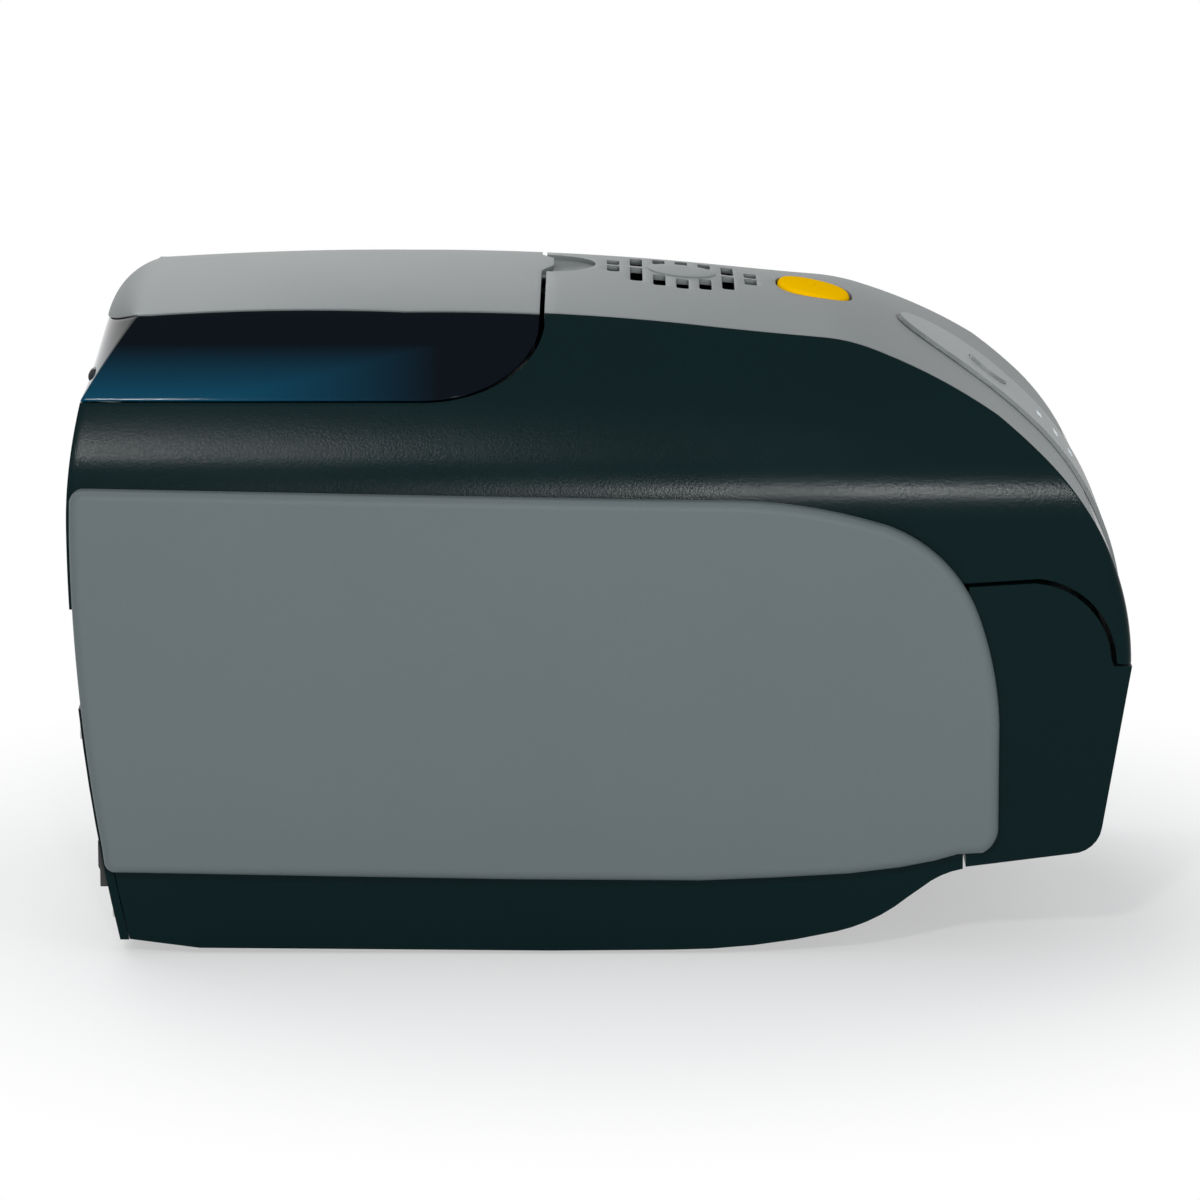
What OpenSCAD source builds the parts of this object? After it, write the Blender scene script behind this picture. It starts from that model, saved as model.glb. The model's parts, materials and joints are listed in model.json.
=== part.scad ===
// Desktop card printer with a hinged clamshell cover.
// X runs from the rear to the front, Y across the width, Z up. The feet stand on Z = 0.

/* [Case] */
// Half width over the dark side walls
wall_half = 91.5; // [89:0.5:94]
// How far each grey side panel stands out from the side wall
panel_proud = 6; // [5:0.5:8]
// Wall thickness of the moulded covers
shell_t = 2.5; // [2:0.1:3]
// Height of the highest point of the top
top_z = 231; // [229:0.5:233]
// Place of the highest point along the printer
top_x = -67; // [-70:1:-64]
// Radius of the long top curve
top_r = 944; // [900:1:990]
// Drop of the crowned top from its middle to the crease
crown_drop = 8.7; // [6:0.1:10]
// Height where the side wall starts to lean in
lean_z = 155; // [150:1:158]
// Top of the base walls
base_top_z = 130; // [126:0.5:131]
// Top of the rear connector panel
rear_panel_top = 88; // [84:1:92]

/* [Cover hinge] */
// Hinge axis along the printer
hinge_x = -158; // [-160:0.5:-156]
// Hinge axis height
hinge_z = 140; // [138:0.5:142]
// Radius of the two hinge pins
hinge_pin_r = 3; // [2.5:0.1:3.5]
// Running clearance of every shaft and pin, on the radius
run_gap = 0.05; // [0.03:0.01:0.08]

/* [Lid] */
// Front edge of the hopper lid
lid_front_x = -19.5; // [-21:0.5:-18]
// Height of the lid, from the lower edge of its windows to the top of the printer
lid_h = 36.8; // [35:0.1:38]
// Seam between a lid or panel and its neighbour
seam = 0.7; // [0.5:0.1:1.2]
// Thickness of the tinted window
window_t = 2; // [1.6:0.1:2.4]
// Lid axis along the printer
lid_axis_x = -174.5; // [-175:0.1:-174]
// Lid axis above the lower edge of the windows
lid_axis_up = 4.8; // [4.4:0.1:5.2]
// Radius of the lid pins
lid_pin_r = 1.5; // [1.2:0.1:1.8]

/* [Vents] */
// Middle of the vent pattern along the printer
vent_x = 29; // [27:0.5:31]
// Distance between the slot columns
vent_pitch = 8.1; // [7.5:0.1:8.6]
// Width of a slot
vent_w = 4.4; // [3:0.1:5]

/* [Buttons] */
// Middle of the cover release button
release_x = 76; // [75:0.5:78]
// Length of the release button along the slope
release_len = 26; // [24:0.5:28]
// Half width of the release button
release_half = 17; // [14:0.5:19]
// Travel of the release button
release_travel = 3.5; // [2:0.1:4]
// Clearance round a button
button_gap = 0.8; // [0.5:0.1:1.2]

/* [Card transport] */
// Card length
card_l = 85.6; // [85.6:0.1:86]
// Card width
card_w = 54; // [53:0.1:54]
// Height of the roller shafts
shaft_z = 90.5; // [89:0.5:92]
// Radius of the rubber rollers
roller_r = 6; // [5:0.5:6.5]
// Radius of the steel shafts
shaft_r = 2.5; // [2:0.1:3]
// Radius of the belt pulleys
pulley_r = 8; // [7:0.5:9]
// Half distance between the frame plates, inside
plate_half = 42; // [40:1:44]
// Thickness of the frame plates
plate_t = 2; // [1.5:0.1:2.5]
// Drive motor shaft along the printer
motor_x = -20; // [-26:1:-14]
// Drive motor shaft height
motor_z = 50; // [46:1:54]
// Radius of the drive motor
motor_r = 20; // [16:1:22]
// Radius of the ribbon spool cores
core_r = 6; // [5:0.5:7]

/* [Hidden] */
$fn = 48;

// Profile of the printer on its middle plane: arcs that meet without a kink. Each point is named
// by its slope angle a: 0 is level, 90 is the upright nose, below 0 is the rear corner.
rear_corner_r = 18;
rear_turn = -5.4;
knee_turn = 8.8;
brow_turn = 24;
nose_turn = 44;
knee_r = 70;
brow_r = 200;
nose_r = 101;
function normal(a) = [sin(a), cos(a)];
top_centre = [top_x, top_z - top_r];
rear_centre = top_centre + (top_r - rear_corner_r) * normal(rear_turn);
knee_centre = top_centre + (top_r - knee_r) * normal(knee_turn);
brow_centre = knee_centre + (knee_r - brow_r) * normal(brow_turn);
nose_centre = brow_centre + (brow_r - nose_r) * normal(nose_turn);
function profile(a, inset = 0) =
    a < rear_turn ? rear_centre + (rear_corner_r - inset) * normal(a) :
    a < knee_turn ? top_centre + (top_r - inset) * normal(a) :
    a < brow_turn ? knee_centre + (knee_r - inset) * normal(a) :
    a < nose_turn ? brow_centre + (brow_r - inset) * normal(a) :
    nose_centre + (nose_r - inset) * normal(a);
function top_angle(x) = asin((x - top_x) / top_r);

// The drop from the middle to the crease fades out towards the nose and, more slowly, the rear.
function clamp(v, low, high) = max(low, min(high, v));
fade_x = 137;
fade_length = 100;
front_fade = 0.0012;
rear_fade = 0.004;
function drop(a) = let (x = profile(a)[0])
    crown_drop * sin(90 * clamp((fade_x - x) / fade_length, 0, 1))
    * (1 - max(front_fade * (x - top_x), rear_fade * (top_x - x)));
rear_crease_z = profile(rear_turn, drop(rear_turn))[1];
rear_turn_x = profile(rear_turn)[0];

// Half width of the dark side wall at a height: upright, then a tight arc, then a wide arc.
lean_r = 60;
lean_turn = 21;
upper_r = 162;
lean_y = wall_half - lean_r;
upper_y = lean_y + (lean_r - upper_r) * cos(lean_turn);
upper_z = lean_z + (lean_r - upper_r) * sin(lean_turn);
function wall_at(z) =
    z < lean_z ? wall_half :
    z < lean_z + lean_r * sin(lean_turn) ? lean_y + sqrt(lean_r * lean_r - pow(z - lean_z, 2)) :
    upper_y + sqrt(upper_r * upper_r - pow(z - upper_z, 2));

// Behind the rear turn the middle falls away and the crease runs on level, so the corners stay high.
function reach(x, u) = rear_turn_x + (x - rear_turn_x) * (1.14 - 0.88 * pow(abs(u), 2.4));

// Crease between the crowned top and the side wall, in the XZ plane.
function crease(a, inset = 0) = a < rear_turn
    ? [reach(profile(a)[0], 1), rear_crease_z - inset]
    : profile(a, drop(a) + inset);

// A point of the crowned surface at slope angle a and share u of the half width.
function rear_crown(a, u, inset) =
    let (p = profile(a, inset), q = profile(a, inset * (1 - u * u)))
    [reach(q[0], u), u * wall_at(rear_crease_z), (1 - u * u) * p[1] + u * u * (rear_crease_z - inset)];
function front_crown(a, u, inset) =
    let (p = profile(a, drop(a) * u * u + inset))
    [p[0], u * wall_at(crease(a)[1]), p[1]];
function crown(a, u, inset = 0) = a < rear_turn ? rear_crown(a, u, inset) : front_crown(a, u, inset);

// Closed skin through rings of equal length. The first half of a ring runs one way and the
// second half runs back, so each end is closed by a strip between the two halves.
function strip(base, n, flip) = [for (i = [0:n / 2 - 2]) let (a = base + i, b = base + n - 1 - i) each
    flip ? [[a, b, a + 1], [a + 1, b, b - 1]] : [[a, a + 1, b], [a + 1, b - 1, b]]];
module skin(rings) {
    n = len(rings[0]);
    last = len(rings) - 1;
    points = [for (ring = rings) each ring];
    faces = concat(strip(0, n, false),
        [for (k = [0:last - 1], i = [0:n - 1]) let (j = (i + 1) % n) each
            [[k * n + i, (k + 1) * n + i, (k + 1) * n + j], [k * n + i, (k + 1) * n + j, k * n + j]]],
        strip(last * n, n, true));
    polyhedron(points, faces, convexity = 10);
}

// Crowned shell between two slope angles. The angle of the end may change across the width.
edge_t = 1.2;
across = 10;
skin_t = 2.2;
rim_share = 0.95;
function shell_ring(angle_of, s, t) = concat(
    [for (i = [0:across]) let (u = -1 + 2 * i / across) crown(angle_of(s, u), u)],
    [for (i = [0:across]) let (u = 1 - 2 * i / across)
        crown(angle_of(s, u), u * (abs(u) == 1 ? 1 : rim_share), abs(u) == 1 ? edge_t : t)]);
module crowned_shell(angle_of, steps, t) {
    skin([for (k = [0:steps]) shell_ring(angle_of, k / steps, t)]);
}

// Extrude an XZ outline across the width, from y0 to y1.
module across_y(y0, y1) translate([0, y1, 0]) rotate([90, 0, 0]) linear_extrude(y1 - y0) children();
// A rod along Y with its middle line at x, z.
module rod(x, z, r, y0, y1) translate([x, y0, z]) rotate([-90, 0, 0]) cylinder(r = r, h = y1 - y0);
module both_sides() for (side = [0, 1]) mirror([0, side, 0]) children();
module block(x0, x1, y0, y1, z0, z1) translate([x0, y0, z0]) cube([x1 - x0, y1 - y0, z1 - z0]);
function arc(c, r, a0, a1, n) = [for (i = [0:n]) let (a = a0 + (a1 - a0) * i / n) c + r * [cos(a), sin(a)]];

// Rear outline: a wide arc below the waist and a tighter one above it.
waist_z = 152;
rear_low_r = 666;
rear_high_r = 190;
waist_x = -183.4;
function rear_x(z, inset = 0) = z < waist_z
    ? waist_x + rear_low_r - sqrt(pow(rear_low_r - inset, 2) - pow(z - waist_z, 2))
    : waist_x + rear_high_r - sqrt(pow(rear_high_r - inset, 2) - pow(z - waist_z, 2));
function rear_line(z0, z1, n, inset = 0) = [for (i = [0:n]) let (z = z0 + (z1 - z0) * i / n) [rear_x(z, inset), z]];

// Side wall section across the printer, as a YZ outline, narrowed by an inset.
section_top = top_z + 9;
section_steps = 14;
section_low = 90;
crease_top = top_z - 7;
function half_section(inset) = concat([[wall_half - inset, section_low]],
    [for (i = [0:section_steps]) let (z = lean_z + (crease_top - lean_z) * i / section_steps)
        [wall_at(z) - inset, z]], [[wall_at(crease_top) - inset, section_top]]);
module wall_section(inset) {
    half = half_section(inset);
    rotate([90, 0, 90]) linear_extrude(400, center = true)
        polygon(concat(half, [for (i = [len(half) - 1:-1:0]) [-half[i][0], half[i][1]]]));
}

// Places that several pieces share.
base_front_x = 126.3;
base_rear_x = -150;
base_half = wall_half - 0.5;
rear_plate_t = 3;
cover_edge_z = 132.5;
cover_rear_z = 123.3;
spool_x = [4, 77];
spool_z = 134;
head_x = 40;
head_half = 30;
tray_half = 30;
tray_t = 2;
tray_z = [44, 97];

// The cover.
lid_edge_z = top_z - lid_h;
lid_axis_z = lid_edge_z + lid_axis_up;
lid_bay_x = -61;
lid_bay_z = top_z - 10;
lid_bay_a = lid_front_x + seam - lid_bay_x;
lid_bay_b = lid_bay_z - lid_edge_z + seam;
nose_x = nose_centre[0] + nose_r;
chin_z = nose_centre[1] + 1.5;
strip_end = 60.7;
gap_centre = [nose_x - 35.6, nose_centre[1] + 0.9];
gap_r = 30.3;
rim_gap = 0.25;
chin_lip_x = gap_centre[0] + gap_r;
bay_end = -7;
function bay_arc(a, b, n) = [for (i = [0:n]) let (t = -90 + (90 + bay_end) * i / n)
    [lid_bay_x + a * cos(t), lid_bay_z + b * sin(t)]];
top_start = top_angle(lid_front_x + seam);
cover_outline = concat(
    rear_line(cover_rear_z, lid_edge_z - seam, 8),
    bay_arc(lid_bay_a, lid_bay_b, 8),
    [for (i = [0:20]) crease(top_start + (strip_end - top_start) * i / 20, edge_t + rim_gap)],
    [for (i = [0:6]) profile(strip_end + (89 - strip_end) * i / 6)],
    [[profile(89)[0], chin_z], [chin_lip_x, chin_z]],
    arc(gap_centre, gap_r, 4, 84, 8),
    [[base_front_x - 0.3, cover_edge_z], [hinge_x + 10, cover_edge_z], [hinge_x + 2, cover_rear_z]]);
cover_hollow = concat(
    rear_line(cover_rear_z - 10, lid_edge_z + 40, 10, shell_t),
    [[-100, top_z + 19], [100, top_z + 19]],
    [for (i = [0:6]) profile(20 + (strip_end + 0.05 - 20) * i / 6, -5)],
    [for (i = [0:6]) profile(strip_end + 0.05 + (89.4 - strip_end) * i / 6, shell_t)],
    [[profile(89)[0] - shell_t, 90], [-140, 90]]);
lid_sweep_r = 6.7;
ear_y = [56, 60];
arm_y = [80, 86];
arm_r = 9;
module cover_shell() color([0.17, 0.19, 0.2]) {
    difference() {
        intersection() {
            across_y(-wall_half - 1, wall_half + 1) polygon(cover_outline);
            wall_section(0);
        }
        intersection() {
            across_y(-wall_half, wall_half) polygon(cover_hollow);
            wall_section(shell_t);
        }
        rod(lid_axis_x, lid_axis_z, lid_sweep_r, -wall_half - 1, wall_half + 1);
    }
    both_sides() difference() {
        union() {
            rod(hinge_x, hinge_z, arm_r, arm_y[0], arm_y[1]);
            across_y(arm_y[0], arm_y[1]) polygon([[hinge_x - arm_r, hinge_z], [hinge_x + arm_r, hinge_z],
                [-130, 152], [-130, 166], [hinge_x - arm_r, 166]]);
            block(hinge_x - arm_r, -130, arm_y[0], wall_half - shell_t + 0.5, 154, 166);
        }
        rod(hinge_x, hinge_z, hinge_pin_r + run_gap, arm_y[0] - 1, arm_y[1] + 1);
    }
}

function vent_span(k) = k == 3 ? [1, 11.5] : k == 2 ? [1.5, 23] : k == 1 ? [11, 26.5] : [14.5, 28];
scoop_r = 18;
scoop_floor_z = top_z - 8;
release_tilt = 12;
oval_over = 2;
release_at = profile(top_angle(release_x));
module at_release() translate([release_at[0], 0, release_at[1]]) rotate([0, release_tilt, 0]) children();
module oval(length, half, h) linear_extrude(h, center = true) intersection() {
    square([length, 2 * half + oval_over], center = true);
    circle(r = half);
}
module top_skin() crowned_shell(function (s, u) top_start + (strip_end - top_start) * s, 26, skin_t);
module cover_top() color([0.55, 0.58, 0.57]) {
    difference() {
        top_skin();
        for (k = [-3:3], side = [-1, 1]) let (span = vent_span(abs(k)))
            translate([vent_x + k * vent_pitch, side * (span[0] + span[1]) / 2, top_z - 2])
                cube([vent_w, span[1] - span[0], 14], center = true);
        at_release() oval(release_len + 2 * button_gap, release_half + button_gap, 20);
        translate([lid_front_x, 0, scoop_floor_z]) cylinder(r = scoop_r, h = 20);
        on_nose(button_a) cylinder(r = control_r + 1.6, h = 12, center = true);
    }
}

// Control panel: the pale raised tongue that runs down the nose.
panel_half = 28;
panel_start = 27.5;
panel_end = 84;
panel_raise = 1.6;
tongue_steps = 16;
function tongue_half(s) = panel_half * sqrt(clamp(1 - pow(1 - clamp(s / 0.22, 0, 1), 2), 0.04, 1));
function on_crown(a, y, lift) = let (p = profile(a, drop(a) * pow(y / 90, 2) - lift)) [p[0], y, p[1]];
function tongue_ring(s, low, high) =
    let (a = panel_start + (panel_end - panel_start) * s, half = tongue_half(s))
    concat([for (i = [-3:3]) on_crown(a, half * i / 3, high)],
        [for (i = [3:-1:-3]) on_crown(a, half * i / 3, low)]);
module tongue(low, high) skin([for (k = [0:tongue_steps]) tongue_ring(k / tongue_steps, low, high)]);
button_a = 38;
light_a = [46, 51, 56];
module on_nose(a, lift = 0) let (p = profile(a, -lift)) translate([p[0], 0, p[1]]) rotate([0, a, 0]) children();
module control_panel() color([0.74, 0.77, 0.75]) difference() {
    tongue(0.1, panel_raise);
    on_nose(button_a) cylinder(r = control_r + 0.4, h = 12, center = true);
    for (a = light_a) on_nose(a) cube([2.6, 7, 12], center = true);
}
control_r = 8;
control_travel = 1.2;
module control_button() color([0.74, 0.77, 0.75]) on_nose(button_a) {
    translate([0, 0, -3]) cylinder(r = control_r, h = 3 + panel_raise + 1);
    translate([0, 0, -4]) cylinder(r = 3, h = 1.01);
}
module status_lights() color([0.8, 0.9, 0.95]) for (a = light_a) on_nose(a)
    translate([-1.2, -3.4, 0.15]) cube([2.4, 6.8, panel_raise + 0.1]);

// Deck under the lid, with the mouth where cards go in.
deck_z = lid_edge_z - 9.2;
deck_t = 2;
hopper_wall = 2;
hopper_x = [base_rear_x + shell_t + hopper_wall + 0.2, base_rear_x + shell_t + hopper_wall + card_l + 1.8];
deck_x = [-166, lid_front_x - 3];
mouth_x = [hopper_x[0] - 1, hopper_x[1] + 1];
mouth_half = card_w / 2 + 3;
deck_half = wall_at(deck_z) - shell_t;
module hopper_deck() color([0.13, 0.15, 0.17]) {
    difference() {
        union() {
            block(deck_x[0], deck_x[1], -deck_half, deck_half, deck_z - deck_t, deck_z);
            block(deck_x[1] - deck_t, deck_x[1], -58, 58, deck_z - deck_t, top_z - 12);
            translate([lid_front_x, 0, scoop_floor_z - 2]) cylinder(r = scoop_r + 1.5, h = 2);
            block(deck_x[1] - deck_t, deck_x[1], -12, 12, top_z - 13, scoop_floor_z - 0.5);
        }
        block(mouth_x[0], mouth_x[1], -mouth_half, mouth_half, deck_z - 5, deck_z + 5);
    }
    both_sides() difference() {
        union() {
            rod(lid_axis_x, lid_axis_z, 2.9, ear_y[0], ear_y[1]);
            block(lid_axis_x, -160, ear_y[0], ear_y[1], lid_axis_z - 2, lid_axis_z + 2);
            block(-164, -160, ear_y[0], ear_y[1], deck_z - 0.5, lid_axis_z + 2);
        }
        rod(lid_axis_x, lid_axis_z, lid_pin_r + 0.02, ear_y[0] - 1, ear_y[1] + 1);
    }
}
module lid_pins() color([0.75, 0.76, 0.78])
    both_sides() rod(lid_axis_x, lid_axis_z, lid_pin_r, leg_y[0] - 0.5, ear_y[1]);

// Hopper lid: a crowned grey top over a tinted band that wraps the sides and the rear.
lid_rear_a = -78;
tab_half = 14;
tab_out = 3.2;
function lid_front(u) = lid_front_x + tab_out * clamp((tab_half / 61 - abs(u)) / 0.1, 0, 1);
leg_y = [50, 55.4];
// The first rings lie close together, where the rear corner turns.
function lid_share(s) = s < 0.3 ? 2.6 * s : 0.78 + 0.22 * (s - 0.3) / 0.7;
module lid_top() color([0.55, 0.58, 0.57]) crowned_shell(
    function (s, u) lid_rear_a + (top_angle(lid_front(u)) - lid_rear_a) * lid_share(s), 20, skin_t);
lid_turn_r = 5.9;
lid_low_a = 360 - asin(lid_axis_up / lid_turn_r);
window_low_z = lid_axis_z - 2.8;
window_top_z = rear_crease_z - edge_t - 0.05;
crease_rear_x = -153;
window_outline = concat(
    arc([lid_axis_x, lid_axis_z], lid_turn_r, 218, lid_low_a, 6),
    [[lid_bay_x, lid_edge_z]],
    bay_arc(lid_bay_a - seam, lid_bay_b - seam, 8),
    [for (i = [0:12]) crease(top_angle(lid_front_x + (crease_rear_x - lid_front_x) * i / 12), edge_t + rim_gap)],
    [for (i = [0:5]) let (z = window_top_z - 0.2 + (window_low_z - window_top_z) * i / 5) [rear_x(z), z]]);
window_hollow = concat([[-160, lid_edge_z - 4], [0, lid_edge_z - 4], [0, top_z + 19], [-150, top_z + 19]],
    [for (i = [0:5]) let (z = top_z - 5 + (lid_edge_z + 1 - top_z) * i / 5) [rear_x(z) + window_t, z]]);
// The lid's rear corners are cut back by a plane that leans forward on each side.
corner_at = [-178.9, 80, lid_edge_z];
corner_turn = [0, 41.8, -16.5];
module rear_corners(inset) both_sides() translate(corner_at) rotate(corner_turn)
    translate([inset - 40, -60, -60]) cube([40, 120, 120]);
// Space over the crowned rear edge of the lid, as a YZ outline that runs along X.
module above_lid(x0, x1) translate([x0, 0, 0]) rotate([90, 0, 90]) linear_extrude(x1 - x0)
    polygon(concat([[-wall_half, top_z + 9], [-wall_half, rear_crease_z - edge_t]],
        [for (i = [-6:6]) let (p = crown(lid_rear_a, i / 6, abs(i) == 6 ? edge_t : skin_t)) [p[1], p[2]]],
        [[wall_half, rear_crease_z - edge_t], [wall_half, top_z + 9]]));
module lid_window() color([0.03, 0.08, 0.16, 0.85]) difference() {
    union() {
        difference() {
            intersection() {
                across_y(-wall_half, wall_half) polygon(window_outline);
                wall_section(0);
            }
            difference() {
                intersection() {
                    across_y(-wall_half, wall_half) polygon(window_hollow);
                    wall_section(window_t);
                }
                rear_corners(window_t);
            }
            rear_corners(0);
            both_sides() block(-185, -165, ear_y[0] - 0.5, ear_y[1] + 0.5, lid_edge_z - 9, lid_axis_z + 6);
            above_lid(-190, rear_turn_x);
        }
        both_sides() rod(lid_axis_x, lid_axis_z, 2.9, leg_y[0], leg_y[1]);
    }
    rod(lid_axis_x, lid_axis_z, lid_pin_r + run_gap, -leg_y[1] - 1, leg_y[1] + 1);
}

// Release button and the hook it moves.
module release_button() color([0.98, 0.77, 0]) at_release() {
    translate([0, 0, -1.6]) oval(release_len, release_half, 5);
    translate([0, 0, -6]) cube([8, 8, 5], center = true);
}
hook_pivot = [72, top_z - 45];
hook_y = [33, 37];
hook_r = 5;
hook_z = spool_z + 10.6;
module latch_hook() color([0.6, 0.62, 0.64]) both_sides() difference() {
    union() {
        rod(hook_pivot[0], hook_pivot[1], hook_r, hook_y[0], hook_y[1]);
        across_y(hook_y[0], hook_y[1]) polygon(
            [hook_pivot - [3, 0], hook_pivot + [3, 0], [78, hook_z + 9], [86, hook_z + 6], [84, hook_z], [73, hook_z]]);
    }
    rod(hook_pivot[0], hook_pivot[1], 2 + run_gap, hook_y[0] - 1, hook_y[1] + 1);
}

// Print head, hung under the cover, and the cooling fan below the vents.
head_z = spool_z + 14;
head_plate_t = 4;
hanger_z = top_z - 37;
hanger_t = 3;
hanger_half = wall_at(hanger_z + hanger_t) - shell_t;
module head_carrier() color([0.2, 0.2, 0.22]) {
    block(head_x - 10, head_x + 12, -head_half, head_half, head_z, head_z + head_plate_t);
    both_sides() block(head_x - 8, head_x + 46, 38, 41, head_z + 2, hanger_z + 2);
    both_sides() block(head_x - 10, head_x + 12, head_half - 2, 41, head_z, head_z + head_plate_t);
    both_sides() rod(hook_pivot[0], hook_pivot[1], 2, 32, 38.5);
    both_sides() block(head_x - 8, head_x + 46, 38, 66, hanger_z, hanger_z + hanger_t);
    both_sides() block(head_x + 8, head_x + 14, 62, hanger_half, hanger_z, hanger_z + hanger_t);
}
module print_head() color([0.75, 0.6, 0.45]) {
    for (k = [0:6]) block(head_x - 7, head_x + 9, -26 + k * 8, -24 + k * 8, 112, head_z);
    block(head_x - 7, head_x + 9, -28, 28, 106, 112);
    block(head_x - 2, head_x + 2, -28, 28, 103.5, 106);
}
fan_z = top_z - 28;
fan_half = 20;
fan_h = 10;
fan_bore_r = 18.6;
hub_r = 8;
module fan_frame() color([0.1, 0.1, 0.11]) {
    difference() {
        translate([vent_x, 0, fan_z + fan_h / 2]) cube([2 * fan_half, 2 * fan_half, fan_h], center = true);
        translate([vent_x, 0, fan_z - 1]) cylinder(r = fan_bore_r, h = fan_h + 2);
    }
    difference() {
        translate([vent_x, 0, fan_z]) cylinder(r = hub_r, h = 2);
        translate([vent_x, 0, fan_z - 1]) cylinder(r = 1 + run_gap, h = 4);
    }
    for (a = [45, 165, 285]) translate([vent_x, 0, fan_z]) rotate([0, 0, a])
        translate([hub_r - 1, -1, 0]) cube([fan_bore_r - hub_r + 2, 2, 2]);
    both_sides() block(vent_x - fan_half, vent_x + fan_half, fan_half - 0.5, 41, fan_z, fan_z + 2);
    both_sides() block(vent_x + 3, vent_x + fan_half, 38, 41, hanger_z + hanger_t, fan_z + 2);
}
module fan_rotor() color([0.16, 0.16, 0.17]) {
    translate([vent_x, 0, fan_z + 2.4]) cylinder(r = hub_r, h = fan_h - 2.8);
    translate([vent_x, 0, fan_z + 0.2]) cylinder(r = 1, h = 3);
    for (k = [0:6]) translate([vent_x, 0, fan_z + 6]) rotate([0, 0, k * 360 / 7]) translate([hub_r - 0.6, 0, 0])
        rotate([38, 0, 0]) translate([0, -0.6, -2.8]) cube([fan_bore_r - hub_r - 0.2, 1.2, 5.6]);
}

// The base.
function inset_line(points, d) = [for (p = points) p + [0, d]];
keel = concat([[24, 1.8]],
    [for (i = [1:4]) [24, 1.8] + 260 * [sin(13 * i / 4), 1 - cos(13 * i / 4)]],
    [for (i = [1:5]) let (a = 13 + 27 * i / 5) [82.5, 8.5] + 58 * [sin(a) - sin(13), cos(13) - cos(a)]],
    [[112, 24.4]],
    [for (i = [1:4]) let (a = 40 - 30 * i / 4) [112, 24.4] + 30 * [sin(40) - sin(a), cos(a) - cos(40)]]);
function base_region(d) = concat([[-139.4, 2.5 + d], [-17.4, 1.5 + d]], inset_line(keel, d),
    d == 0 ? [[base_front_x, base_top_z]] : [[base_front_x - d, base_top_z + d]],
    [[base_rear_x + d, base_top_z + (d == 0 ? 0 : d)], [base_rear_x + d, rear_panel_top - d]],
    [for (i = [0:5]) let (z = rear_panel_top - d + (5.7 + 2 * d - rear_panel_top) * i / 5)
        [rear_x(z, rear_plate_t + (d == 0 ? 0.3 : -1)), z]]);
foot_x = [-145, 38];
foot_y = 68;
foot_r = 8;
foot_h = 4;
bracket_y = [74, 79];
skirt_sweep_r = norm([9.5, hinge_z - cover_rear_z]) + 0.9;
module base_case() color([0.15, 0.17, 0.18]) {
    difference() {
        across_y(-base_half, base_half) polygon(base_region(0));
        across_y(-base_half + shell_t, base_half - shell_t) polygon(base_region(shell_t));
        for (x = foot_x, y = [-foot_y, foot_y]) translate([x, y, -1]) cylinder(r = foot_r + 0.1, h = foot_h + 1);
        both_sides() rod(hinge_x, hinge_z, skirt_sweep_r, wall_half - shell_t - 0.6, wall_half + 1);
        block(base_front_x - shell_t - 1, base_front_x + 1, -tray_half - tray_t - 0.2, tray_half + tray_t + 0.2,
            tray_z[0] - tray_t - 0.2, tray_z[1] + 4.2);
    }
    for (x = foot_x, y = [-foot_y, foot_y]) difference() {
        translate([x, y, foot_h]) cylinder(r = foot_r + 3, h = 3);
        translate([x, y, foot_h + 1]) cylinder(r = 2, h = 3);
    }
    both_sides() difference() {
        union() {
            rod(hinge_x, hinge_z, 8, bracket_y[0], bracket_y[1]);
            across_y(bracket_y[0], bracket_y[1]) polygon([[hinge_x, hinge_z - 8], [base_rear_x + 1, 100],
                [base_rear_x + 20, 90], [base_rear_x + 14, base_top_z], [hinge_x + 4, hinge_z + 7]]);
        }
        rod(hinge_x, hinge_z, hinge_pin_r + 0.02, bracket_y[0] - 1, bracket_y[1] + 1);
    }
    for (x = [-120, 70], side = [-1, 1]) block(x, x + 12, side > 0 ? plate_half - 2 : -plate_half - plate_t - 2,
        side > 0 ? plate_half + plate_t + 2 : -plate_half + 2, x > 0 ? 9 : 3.5, 22);
}
module hinge_pins() color([0.75, 0.76, 0.78])
    both_sides() rod(hinge_x, hinge_z, hinge_pin_r, bracket_y[0], arm_y[1] + 1.5);
module feet() color([0.08, 0.08, 0.08]) for (x = foot_x, y = [-foot_y, foot_y])
    translate([x, y, 0]) cylinder(r = foot_r, h = foot_h);
screw_z = [14, rear_panel_top - 10];
module base_screws() color([0.7, 0.71, 0.73]) for (z = screw_z, y = [-80, 80])
    translate([rear_x(z) - 1.2, y, z]) rotate([0, 90, 0]) {
        cylinder(r = 3.2, h = 1.2);
        cylinder(r = 1.4, h = 6);
    }

panel_top_z = 165.8;
function panel_line(d) = concat(
    [[-166, 30.7 + d], [34.7, 27.8 + d], [86.6, 30.3 + d], [104, 32.5 + d], [120 - d / 3, 36 + d]],
    arc([128, 46.5], 10 - d, -60, 0, 4),
    arc([14, 79], 124 - d, 0, 20, 4),
    arc([80.7, 103.3], 53 - d, 26, 70, 7),
    arc([41.8, -23], 185 - d, 76, 90, 4),
    [[0, panel_top_z - 3.5 - d], [-176, panel_top_z - d]],
    arc([-177, panel_top_z - 4.8], 5.2 - d * 0.9, 100, 175, 4),
    [for (i = [0:6]) let (z = panel_top_z - 15.8 - (panel_top_z - 55.8) * i / 6) [rear_x(z) + 1.2 + d, z]],
    [[-172.2 + d, 34 + d / 2], [-169.5 + d / 2, 31 + d]]);
panel_in = wall_half + 0.5;
panel_out = wall_half + panel_proud;
edge_round = 3.5;
edge_steps = 5;
panel_peg = [[-150, 60], [-150, 110], [100, 50], [100, 110], [-20, 60], [-20, 115]];
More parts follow.
